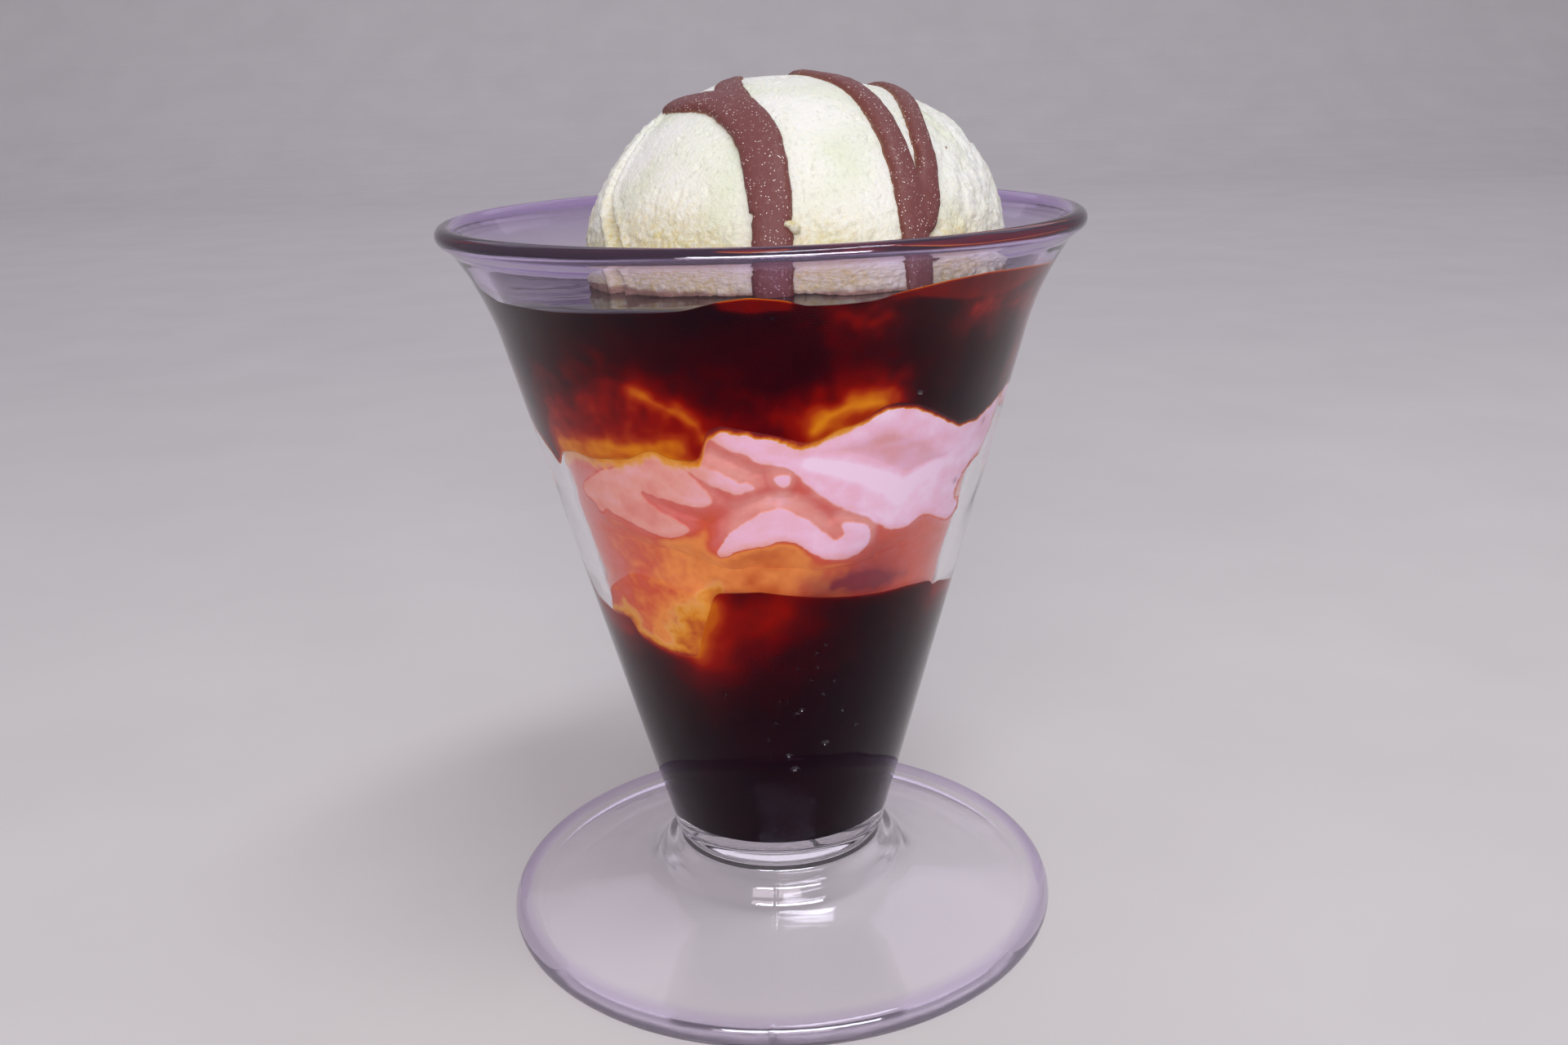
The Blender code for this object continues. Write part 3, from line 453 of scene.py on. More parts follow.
def flare(z):
    """How far up the bowl's flare a height is: 0 up to where it starts, 1 at the rim."""
    return np.clip((z - FLARE_START_Z) / (GLASS_HEIGHT - FLARE_START_Z), 0.0, None)


def outer_radius(z):
    """The bowl's outside: a straight cone, opened above FLARE_START_Z by a parabola."""
    return CONE_BASE_RADIUS + CONE_SLOPE * (z - CONE_BASE_Z) + FLARE_OUT * flare(z) ** 2


def inner_radius(z):
    """The bowl's inside, one wall thickness in from the outside, square to it."""
    slope = CONE_SLOPE + 2.0 * FLARE_OUT * flare(z) / (GLASS_HEIGHT - FLARE_START_Z)
    return outer_radius(z) - WALL * np.sqrt(1.0 + slope**2)


def floor_corner():
    """Centre of the bowl's inner corner: FLOOR_CORNER from the floor and from the sloped wall."""
    z = FLOOR_Z + FLOOR_CORNER
    return float(inner_radius(z)) - FLOOR_CORNER * math.hypot(1.0, CONE_SLOPE), z


def arc(centre, radius, start, end, steps):
    """Points on a circle in the (radius, height) plane, between two angles in degrees."""
    turn = np.radians(np.linspace(start, end, steps))
    return np.stack([centre[0] + radius * np.cos(turn), centre[1] + radius * np.sin(turn)], axis=-1)


# ---- Meshes --------------------------------------------------------------------------------


def add_piece(name, points, faces, materials, replaced=(), paint=None, fields=None):
    """A piece from points in mm and arrays of quads or triangles, shaded smooth.

    paint gives each face's material number, and fields a number at each point for the material.
    """
    mesh = bpy.data.meshes.new(name)
    corners = np.concatenate([group.ravel() for group in faces])
    sizes = np.concatenate([np.full(len(group), group.shape[1]) for group in faces])
    mesh.vertices.add(len(points))
    mesh.vertices.foreach_set("co", (points * MM).astype(np.float32).ravel())
    mesh.loops.add(corners.size)
    mesh.loops.foreach_set("vertex_index", corners.astype(np.int32))
    mesh.polygons.add(sizes.size)
    mesh.polygons.foreach_set("loop_start", (np.cumsum(sizes) - sizes).astype(np.int32))
    if paint is not None:
        mesh.polygons.foreach_set("material_index", paint.astype(np.int32))
    for field, values in (fields or {}).items():
        made = mesh.attributes.new(field, "FLOAT", "POINT")
        made.data.foreach_set("value", values.astype(np.float32).ravel())
    mesh.update(calc_edges=True)
    mesh.validate()
    mesh.shade_smooth()
    for material in materials:
        mesh.materials.append(material)
    piece = bpy.data.objects.new(name, mesh)
    bpy.context.scene.collection.objects.link(piece)
    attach(piece, "root")
    if replaced:
        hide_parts(*replaced)
    return piece


def rings_to_mesh(rings, low_pole, high_pole):
    """Points and faces of a closed body whose rings run out from low_pole and in to high_pole."""
    count, sides = rings.shape[:2]
    points = np.vstack([rings.reshape(-1, 3), [low_pole, high_pole]])
    side = np.arange(sides)
    after = (side + 1) % sides
    ring = np.arange(count - 1)[:, None] * sides
    quads = np.stack([ring + side, ring + after, ring + sides + after, ring + sides + side], axis=-1)
    low, high = np.full(sides, count * sides), np.full(sides, count * sides + 1)
    last = (count - 1) * sides
    bottom = np.stack([low, after, side], axis=-1)
    top = np.stack([last + side, last + after, high], axis=-1)
    return points, [bottom, quads.reshape(-1, 4), top]


def with_poles(field):
    """A field over rings, made one row of numbers that ends with its two poles' values."""
    return np.concatenate([field.ravel(), [field[0].mean(), field[-1].mean()]])


def add_body(name, rings, poles, materials, slot, replaced=(), paint=None, **fields):
    """A piece over rings closed by two poles. Each field is a number at each point of the rings."""
    points, faces = rings_to_mesh(rings, *poles)
    kept = {field: with_poles(values) for field, values in fields.items()}
    return add_piece(name, points, faces, materials, replaced, paint, kept)


def jelly_paint(rings, first, dents):
    """Material number of each face of a jelly, whose side starts at ring first and has these dents:
    1, the open finish, over its top and in its bubbles, and 0, the finish on glass, elsewhere."""
    at_top = first + len(dents)
    open_to_air = np.zeros(rings.shape[:2], dtype=bool)
    open_to_air[first:at_top] = dents > 0.05
    rows = np.arange(len(rings) - 1) >= at_top - 1
    faces = rows[:, None] | (open_to_air[:-1] & open_to_air[1:])
    sides = rings.shape[1]
    return np.concatenate([np.zeros(sides), faces.ravel(), np.ones(sides)])


# ---- Colours and materials -----------------------------------------------------------------


def linear(colour):
    """Linear red, green, blue and 1 from an sRGB hex value such as "E8D2D9"."""
    parts = np.array([int(colour[i : i + 2], 16) for i in (0, 2, 4)]) / 255.0
    parts = np.where(parts <= 0.04045, parts / 12.92, ((parts + 0.055) / 1.055) ** 2.4)
    return (*parts.tolist(), 1.0)


def new_material(name, **settings):
    """A material with a Principled shader, given its sockets' values by plain names."""
    material = bpy.data.materials.new(name)
    material.use_nodes = True
    shader = material.node_tree.nodes["Principled BSDF"]
    for socket, value in settings.items():
        shader.inputs[socket.replace("_", " ")].default_value = value
    return material, material.node_tree, shader


def add_node(tree, kind, inputs=(), output=0, stops=None, **settings):
    """One new node's output. Its inputs, by name or in order, are values, hex colours or the sockets
    they link from; settings are its properties, and stops a ramp's (place, hex colour) pairs."""
    made = tree.nodes.new("ShaderNode" + kind)
    for setting, value in settings.items():
        setattr(made, setting, value)
    if stops:
        elements = made.color_ramp.elements
        elements.remove(elements[1])
        elements[0].position, elements[0].color = stops[0][0], linear(stops[0][1])
        for place, colour in stops[1:]:
            elements.new(place).color = linear(colour)
    for socket, value in inputs.items() if isinstance(inputs, dict) else enumerate(inputs):
        if isinstance(value, bpy.types.NodeSocket):
            tree.links.new(value, made.inputs[socket])
        else:
            made.inputs[socket].default_value = linear(value) if isinstance(value, str) else value
    return made.outputs[output]


def clouds(tree, size_mm, detail=2.0, roughness=0.5, stretch=(1.0, 1.0, 1.0)):
    """Noise that stays with the piece, in lumps size_mm across and longer by stretch."""
    place = add_node(tree, "TexCoord", output="Object")
    scale = Vector([1.0 / (size_mm * MM * s) for s in stretch])
    mapped = add_node(tree, "Mapping", {"Vector": place, "Scale": scale})
    lumps = {"Vector": mapped, "Scale": 1.0, "Detail": detail, "Roughness": roughness}
    return add_node(tree, "TexNoise", lumps)


def coats(tree, colour, layers):
    """Colour with layers of (share covered, colour) laid over it, the first lowest."""
    for share, over in layers:
        colour = add_node(tree, "Mix", {0: share, "A": colour, "B": over}, "Result", data_type="RGBA")
    return colour


# Strong coffee set with gelatine: the colour that light has left after so many mm of it
COFFEE_RAMP = [
    (0.0, "EAB87C"), (0.07, "E49F42"), (0.12, "DC8812"), (0.18, "C6640A"), (0.24, "AA3406"),
    (0.32, "8A0C02"), (0.44, "5C0204"), (0.6, "300206"), (0.8, "1A0208"), (1.0, "110208"),
]
# Whipped cream from fresh to soaked through with coffee
SOAK_RAMP = [
    (0.0, "FADCF2"), (0.10, "F4C2DA"), (0.28, "E8A092"), (0.45, "D86A5E"), (0.56, "D45430"),
    (0.68, "EC9040"), (0.82, "CA601E"), (1.0, "9A4A3C"),
]


def coffee_colour(tree):
    """Colour of the coffee ramp at the piece's jelly_mm, unevened by faint clouds."""
    thick = add_node(tree, "Attribute", output="Fac", attribute_name="jelly_mm")
    patchy = add_node(tree, "MapRange", [clouds(tree, 5.0, detail=3.0), 0.3, 0.7, 0.9, 1.1])
    inner = add_node(tree, "Math", [thick, patchy], operation="MULTIPLY")
    share = add_node(tree, "Math", [inner, JELLY_DEPTH], operation="DIVIDE")
    return add_node(tree, "ValToRGB", [share], stops=COFFEE_RAMP)


def pressed_glass(name, gloss_colour, clearness, roughness):
    """Soda-lime glass pressed in a mould: clear with a violet cast in its thick edges, fire-polished,
    and a little wavy, so that edges gather dark and lit lines. Lamps shine through it unbent, by
    the mix with a Transparent shader."""
    material, tree, shader = new_material(
        name, Roughness=roughness, IOR=1.5, Transmission_Weight=clearness, Specular_Tint=linear(gloss_colour)
    )
    thick = add_node(tree, "Attribute", output="Fac", attribute_name="thick_edge")
    tree.links.new(coats(tree, "FAF8FB", [(thick, "C8B0E0")]), shader.inputs["Base Color"])
    ripple = add_node(tree, "Bump", {"Height": clouds(tree, 9.0, detail=1.0), "Distance": 0.05 * MM})
    tree.links.new(ripple, shader.inputs["Normal"])
    kinds = [add_node(tree, "LightPath", output=kind) for kind in ("Is Shadow Ray", "Is Diffuse Ray")]
    lamps = add_node(tree, "Math", kinds, operation="MAXIMUM")
    clear = add_node(tree, "BsdfTransparent", ["FCFAFD"])
    mixed = add_node(tree, "MixShader", [lamps, shader.outputs[0], clear])
    tree.links.new(mixed, tree.nodes["Material Output"].inputs["Surface"])
    return material


def coffee_jelly(name, roughness, specular):
    """Coffee set with gelatine: clear brown that turns black where it is deep. On the wall it is
    wetted to the glass and has no gloss of its own; its open top is wet and smooth."""
    material, tree, shader = new_material(name, Roughness=roughness, Specular_IOR_Level=specular, IOR=1.35)
    tree.links.new(coffee_colour(tree), shader.inputs["Base Color"])
    return material


def cream(name, roughness):
    """Whipped cream, soaked by coffee in places: matt with fine air bubbles, whitest where it was
    pressed on the glass, with a film of coffee over it near the jelly. In the whipped cream, how
    soaked it is drawn also carries painted shade and a painted highlight."""
    material, tree, shader = new_material(name, Roughness=roughness, Specular_IOR_Level=0.25)
    # How soaked the cream is drawn; for the whipped cream this also holds painted shade and a painted
    # highlight.
    soak = add_node(tree, "Attribute", output="Fac", attribute_name="soak")
    patchy = add_node(tree, "MapRange", [clouds(tree, 3.5, 4.0, 0.6), 0.3, 0.7, -0.05, 0.05])
    total = add_node(tree, "Math", [soak, patchy], operation="ADD")
    milk = add_node(tree, "ValToRGB", [total], stops=SOAK_RAMP)
    film = add_node(tree, "Attribute", output="Fac", attribute_name="jelly_mm")
    cover = add_node(tree, "MapRange", [film, 0.0, FILM_COVERS], interpolation_type="SMOOTHSTEP")
    # A dark red coat darkens the cream at its spots and lens; in the whipped cream's dimples and pocket it is
    # painted shade.
    dusk = add_node(tree, "Attribute", output="Fac", attribute_name="dusk")
    colour = coats(tree, milk, [(cover, coffee_colour(tree)), (dusk, "7C222C")])
    tree.links.new(colour, shader.inputs["Base Color"])
    return material


# ---- Glass ---------------------------------------------------------------------------------


def glass_outline():
    """The half section: up the inside from the floor's middle, over the rim and down the outside."""
    corner = floor_corner()
    floor = np.stack([np.linspace(0.5, corner[0] - 0.5, 6), np.full(6, FLOOR_Z)], axis=-1)
    heights = np.concatenate([np.linspace(22.5, FLARE_START_Z, 26), np.linspace(99.5, 111.9, 14)])
    inside = np.stack([inner_radius(heights), heights], axis=-1)
    bead = arc(BEAD_CENTRE, BEAD_RADIUS, 165, -50, 20)
    heights = np.concatenate([np.linspace(111.3, FLARE_START_Z, 14), np.linspace(96.0, 22.0, 26)])
    outside = np.stack([outer_radius(heights), heights], axis=-1)
    edge_centre = (FOOT_RADIUS - FOOT_EDGE_RADIUS, FOOT_EDGE_RADIUS)
    foot_edge = arc(edge_centre, FOOT_EDGE_RADIUS, 88, -90, 18)
    inner_bend = arc(corner, FLOOR_CORNER, -90, -15, 10)
    foot = [through(FOOT_OUTLINE, 5), foot_edge, through(UNDERSIDE, 4)]
    return np.vstack([floor, inner_bend, inside, bead, outside, *foot])


def build_glass(bowl, rim_and_foot):
    """The glass turned round its axis, faintly uneven, with the mould's seams as fine ridges.

    Each point of the outline is swept round; outside and below the bowl it moves out by the seam's
    bell across its azimuth and by a slow noise.
    """
    outline = glass_outline()[::-1]
    near_seam = np.array([-1.6, -1.0, -0.6, -0.3, 0.0, 0.3, 0.6, 1.0, 1.6])
    even = np.arange(240) * 1.5 - 180.0
    azimuth = np.unique(np.concatenate([even] + [seam + near_seam for seam in SEAMS]))
    r, z = outline[:, :1], outline[:, 1:]
    top = int(np.argmax(outline[:, 1]))
    outer = (np.arange(len(outline)) <= top)[:, None]
    turn = np.min([np.abs(turn_from(seam, azimuth)) for seam in SEAMS], axis=0)
    across = turn * np.radians(1.0) * r
    seam_share = smooth_step((15.5 - z) / 2.0) * smooth_step((r - 15.0) / 2.0) * smooth_step((z - 2.5) / 1.5)
    ridge = SEAM_HEIGHT * np.exp(-((across / SEAM_WIDTH) ** 2)) * seam_share * outer
    wave = uneven(polar(azimuth, r, z), "glass waves") * smooth_step((z - 1.0) / 4.0) * smooth_step(r / 8.0)
    tilt = np.gradient(outline, axis=0)
    tilt /= np.linalg.norm(tilt, axis=1, keepdims=True)
    out_r, out_z = tilt[:, 1:2], -tilt[:, 0:1]
    move = ridge + wave * np.where(outer, 1.0, 0.4)
    rings = polar(azimuth, r + out_r * move, z + out_z * move)
    at_bead = smooth_step((z - BEAD_CENTRE[1] + 1.5) / 0.8)
    at_foot_edge = smooth_step((r - FOOT_RADIUS + 4.0) / 3.0)
    thick = np.maximum(at_bead, 0.7 * at_foot_edge) * np.ones_like(azimuth)
    at_edges = (outline[:, 1] > BEAD_CENTRE[1] - BEAD_RADIUS) | (outline[:, 1] < WAIST_Z)
    glossy = np.repeat(at_edges[:-1] & at_edges[1:], azimuth.size)
    paint = np.concatenate([np.ones(azimuth.size), glossy, np.zeros(azimuth.size)])
    poles = (0.0, 0.0, UNDERSIDE[-1][1]), (0.0, 0.0, FLOOR_Z)
    finishes = [bowl, rim_and_foot]
    return add_body("parfait_glass", rings, poles, finishes, "glass", ("glass",), paint, thick_edge=thick)


# ---- Filling -------------------------------------------------------------------------------


def layer_surface(wall_marks, inside_marks, middle):
    """Height of a surface between layers, as a function of azimuth and share of the radius."""

    def height(azimuth, share):
        """From the middle out to inside_marks at INSIDE, then to wall_marks, by smooth steps."""
        near_wall = smooth_step((share - INSIDE) / (1.0 - INSIDE))
        outward = smooth_step(share / INSIDE)
        inside = middle + (around(inside_marks, azimuth, 2.5) - middle) * outward
        return inside + (around(wall_marks, azimuth) - inside) * near_wall

    return height


lower_top = layer_surface(LOWER_TOP_WALL, LOWER_TOP_INSIDE, LOWER_TOP_MIDDLE)
stained_top = layer_surface(STAINED_TOP_WALL, STAINED_TOP_INSIDE, STAINED_TOP_MIDDLE)
cream_top = layer_surface(CREAM_TOP_WALL, CREAM_TOP_INSIDE, CREAM_TOP_MIDDLE)


def wall_gap(azimuth_a, azimuth_b, z):
    """Distance in mm round the wall from azimuth_b to azimuth_a at this height."""
    return np.radians(turn_from(azimuth_b, azimuth_a)) * inner_radius(z)


def stroke_distance(stroke, azimuth, z):
    """Distance in mm outside a stroke on the wall, less than nothing on the stroke."""
    best = np.full(np.broadcast(azimuth, z).shape, 99.0)
    for (a0, z0, w0), (a1, z1, w1) in zip(stroke, stroke[1:]):
        middle = 0.5 * (z0 + z1)
        dx, dz = wall_gap(a1, a0, middle), z1 - z0
        x = wall_gap(azimuth, a0, middle)
        along = np.clip((x * dx + (z - z0) * dz) / (dx * dx + dz * dz), 0.0, 1.0)
        best = np.minimum(best, np.hypot(x - dx * along, z - z0 - dz * along) - (w0 + (w1 - w0) * along))
    return best


def outline_distance(outline, azimuth, z):
    """Distance in mm outside a closed outline on the wall, less than nothing inside it.

    The outline's corners are cut twice, each side keeping its middle half, to round them.
    """
    corners = np.array(outline, dtype=float)
    for _ in range(2):
        after = np.roll(corners, -1, axis=0)
        cut = np.stack([0.75 * corners + 0.25 * after, 0.25 * corners + 0.75 * after], axis=1)
        corners = cut.reshape(-1, 2)
    reach = float(inner_radius(corners[:, 1].mean()))
    x, best = np.radians(azimuth) * reach, np.full(np.broadcast(azimuth, z).shape, 99.0)
    inside = np.zeros(best.shape, dtype=bool)
    xs, zs = np.radians(corners[:, 0]) * reach, corners[:, 1]
    for x0, z0, x1, z1 in zip(xs, zs, np.roll(xs, -1), np.roll(zs, -1)):
        dx, dz = x1 - x0, z1 - z0
        along = np.clip(((x - x0) * dx + (z - z0) * dz) / (dx * dx + dz * dz), 0.0, 1.0)
        best = np.minimum(best, np.hypot(x - x0 - dx * along, z - z0 - dz * along))
        inside ^= ((z0 > z) != (z1 > z)) & (x < x0 + dx * (z - z0) / (dz if dz else 1e-9))
    return np.where(inside, -best, best)


def on_wall(azimuth, z):
    """The points on the bowl's inside at these azimuths and heights."""
    return polar(azimuth, inner_radius(z), z)


def soft_least(*thicknesses):
    """The least of some thicknesses, rounded where two meet: (Σ t⁻⁴)^(−¼)."""
    return sum(thickness**-4.0 for thickness in thicknesses) ** -0.25


def thin_jelly(features, azimuth, z, mottled):
    """Jelly in front of the cream, in mm.

    Each feature gives its least thickness on its stroke plus its gain for each mm away, and the
    softly least of them counts. Where that is thin, noise mottles it, as much as mottled says.
    """
    spot = on_wall(azimuth, z)
    wobble = uneven(spot, "jelly wobble")
    depths = [np.full(np.broadcast(azimuth, z).shape, JELLY_DEPTH)]
    for least, gain, stroke in features:
        away = np.clip(stroke_distance(stroke, azimuth, z) + wobble, 0.0, None)
        depths.append(least + gain * away)
    thickness = soft_least(*depths)
    return thickness * (1.0 + mottled * uneven(spot, "jelly mottle") * smooth_step((11.0 - thickness) / 5.0))


def bubble_dents(azimuth, z):
    """How far bubbles hold the jelly off the wall: bowls with a round section."""
    dent = np.zeros(np.broadcast(azimuth, z).shape)
    for a0, z0, half_width, half_height in BUBBLES:
        gap = np.hypot(wall_gap(azimuth, a0, z0) / half_width, (z - z0) / half_height)
        dent = np.maximum(dent, BUBBLE_DEPTH * np.sqrt(np.clip(1.0 - gap**2, 0.0, 1.0)))
    return dent


def contact_distance(azimuth, z):
    """Distance in mm from cream that is pressed on the wall, less than nothing on it.

    It is the least distance from the outlines in front and the strokes behind, plus a wobble that
    tears the edge most on the right.
    """
    wobble = uneven(on_wall(azimuth, z), "smear wobble")
    front = np.min([outline_distance(outline, azimuth, z) for outline in FRONT_PATCHES], axis=0)
    back = np.min([stroke_distance(stroke, azimuth, z) for stroke in BACK_STROKES], axis=0)
    torn = 0.9 + 1.1 * smooth_step((azimuth - 46.0) / 8.0)
    return np.minimum(front + torn * wobble, back + 2.5 * wobble)


def stand_back(gap, azimuth):
    """How far cream stands back from the wall: a crisp lip round the contact, then a slow slope."""
    recess = around(RECESS, azimuth, 6.0)
    return recess * (0.14 * smooth_step(gap / 0.3) + 0.86 * smooth_step((gap - 0.1) / 3.2))


def soak_off_wall(azimuth, z):
    """How soaked the cream is where it stands back: its spots' amounts, weighed by their bells."""
    weight = np.full(np.broadcast(azimuth, z).shape, 0.04)
    total = 0.6 * weight
    for spot in SOAKED:
        bell = spot_bell(spot, azimuth, z)
        weight = weight + bell
        total = total + spot[4] * bell
    return total / weight


def duskiness(azimuth, z):
    """How much darker, towards dark red, the cream is drawn: the sum of the spots' bells, the last two of
    them painted shade in dimples, and the lens.
    """
    edge = outline_distance(DARK_LENS, azimuth, z) + 1.4 * uneven(on_wall(azimuth, z), "ragged lens")
    total = 0.5 * smooth_step(0.45 - edge / 2.6)
    for spot in DARK_SPOTS_AND_SHADE:
        total = total + spot[4] * spot_bell(spot, azimuth, z)
    return np.clip(total, 0.0, 1.0)


def layer_rings(low_at, high_at, radius_at, rows):
    """Rings of a layer, out over its bottom surface, up the wall and in over its top.

    A height comes from azimuth and share of the radius, a radius from azimuth and height.
    """
    azimuth = front_azimuths(COLUMNS)
    shares = np.array(SHARES_OUT)[:, None]
    low, high = low_at(azimuth, 1.0), high_at(azimuth, 1.0)
    z = low + (high - low) * np.linspace(0.0, 1.0, rows)[:, None]
    side = polar(azimuth, radius_at(azimuth, z), z)
    bottom = polar(azimuth, radius_at(azimuth, low) * shares, low_at(azimuth, shares))
    top = polar(azimuth, radius_at(azimuth, high) * shares[::-1], high_at(azimuth, shares[::-1]))
    return np.concatenate([bottom, side, top]), azimuth


def build_lower_jelly(on_glass, open_top):
    """Jelly from the glass's floor to the lower surface, dented by bubbles at the wall.

    Below its upper edge it thickens by 5 mm for each mm, up to what thin_jelly gives.
    """
    azimuth = front_azimuths(LOWER_COLUMNS)
    middle = floor_corner()
    flat = polar(azimuth, np.linspace(2.0, middle[0] - 0.5, 4)[:, None], FLOOR_Z - JELLY_REACH)
    bend = arc(middle, FLOOR_CORNER + JELLY_REACH, -90, -16, 12)
    corner = polar(azimuth, bend[:, :1], bend[:, 1:])
    high = lower_top(azimuth, 1.0)
    z = 21.2 + (high - 21.2) * np.linspace(0.0, 1.0, LOWER_ROWS)[:, None]
    dents = bubble_dents(azimuth, z)
    side = polar(azimuth, inner_radius(z) + JELLY_REACH - dents, z)
    shares = np.array([0.997, 0.985, 0.965, 0.93, 0.88, 0.7, 0.35])[:, None]
    top = polar(azimuth, inner_radius(high) * shares, lower_top(azimuth, shares))
    rings = np.concatenate([flat, corner, side, top])
    fringe = 1.8 + 5.0 * np.clip(high - z, 0.0, None) + around(LOWER_EDGE_DARK, azimuth, 2.0)
    first = len(flat) + len(corner)
    at_top = first + len(side)
    jelly = np.full(rings.shape[:2], JELLY_DEPTH)
    jelly[first:at_top] = soft_least(thin_jelly(LOWER_THIN, azimuth, z, 0.3), fringe)
    jelly[at_top:] = 4.0
    poles = (0.0, 0.0, FLOOR_Z - JELLY_REACH), (0.0, 0.0, LOWER_TOP_MIDDLE)
    return add_body(
        "lower_coffee_jelly", rings, poles, [on_glass, open_top], "coffee_jelly", ("coffee_jelly_lower",),
        jelly_paint(rings, first, dents), jelly_mm=jelly,
    )


def froth_at(azimuth, z):
    """Coffee froth on the stained cream's lobe, in mm: a fringe along its lower edge and a patch."""
    spot = on_wall(azimuth, z)
    edge = stroke_distance(LOBE_EDGE, azimuth, z)
    grains, clumps = uneven(spot, "froth grains"), uneven(spot, "froth clumps")
    lobe = smooth_step((-13.0 - azimuth) / 3.0) * smooth_step((azimuth + 75.0) / 6.0)
    fringe = smooth_step((3.1 + 1.6 * clumps + 0.3 * grains - edge) / 3.8)
    away = np.hypot((azimuth - FROTH_CENTRE[0]) / FROTH_HALF[0], (z - FROTH_CENTRE[1]) / FROTH_HALF[1])
    patch = smooth_step(1.3 - away + 0.4 * clumps + 0.14 * grains)
    at_edge = 1.6 * smooth_step(1.0 - edge / 0.9) * smooth_step((-24.0 - azimuth) / 4.0)
    depth = np.clip(2.5 + 0.4 * clumps + 0.6 * grains + at_edge, 1.4, 4.2)
    return lobe * np.maximum(fringe, patch) * depth


def build_stained_cream(material):
    """Cream soaked with coffee: on the wall in its lobe, elsewhere standing back from it.

    The relief off the wall is noise drawn out along the wall, for the slack folds of wet cream, and
    thick froth has shallow pits.
    """

    def low(azimuth, share):
        """The lower jelly's surface, less the overlap."""
        return lower_top(azimuth, share) - LAYER_OVERLAP

    def radius(azimuth, z):
        """The wall's radius, less the recess and folds off the lobe or the froth's pits on it."""
        across = turn_from(LOBE_CENTRE[0], azimuth) / LOBE_HALF[0]
        from_lobe = np.hypot(across, (z - LOBE_CENTRE[1]) / LOBE_HALF[1])
        spot = on_wall(azimuth, z)
        away = smooth_step((from_lobe - 1.0 + uneven(spot, "lobe edge")) / 0.45)
        recess = around(RECESS, azimuth, 6.0) + uneven(spot, "slack folds")
        pits = 0.1 * smooth_step((froth_at(azimuth, z) - 2.9) / 0.8)
        return inner_radius(z) + CREAM_REACH - away * recess - (1.0 - away) * pits

    rings, azimuth = layer_rings(low, stained_top, radius, STAINED_ROWS)
    z = rings[..., 2]
    soak = soak_off_wall(azimuth, z) + uneven(on_wall(azimuth, z), "stain clouds")
    return add_body(
        "coffee_stained_cream", rings, ((0, 0, LOWER_TOP_MIDDLE - LAYER_OVERLAP), (0, 0, STAINED_TOP_MIDDLE)),
        [material], "stained_cream", ("stained_cream",),
        jelly_mm=froth_at(azimuth, z), soak=soak, dusk=duskiness(azimuth, z),
    )


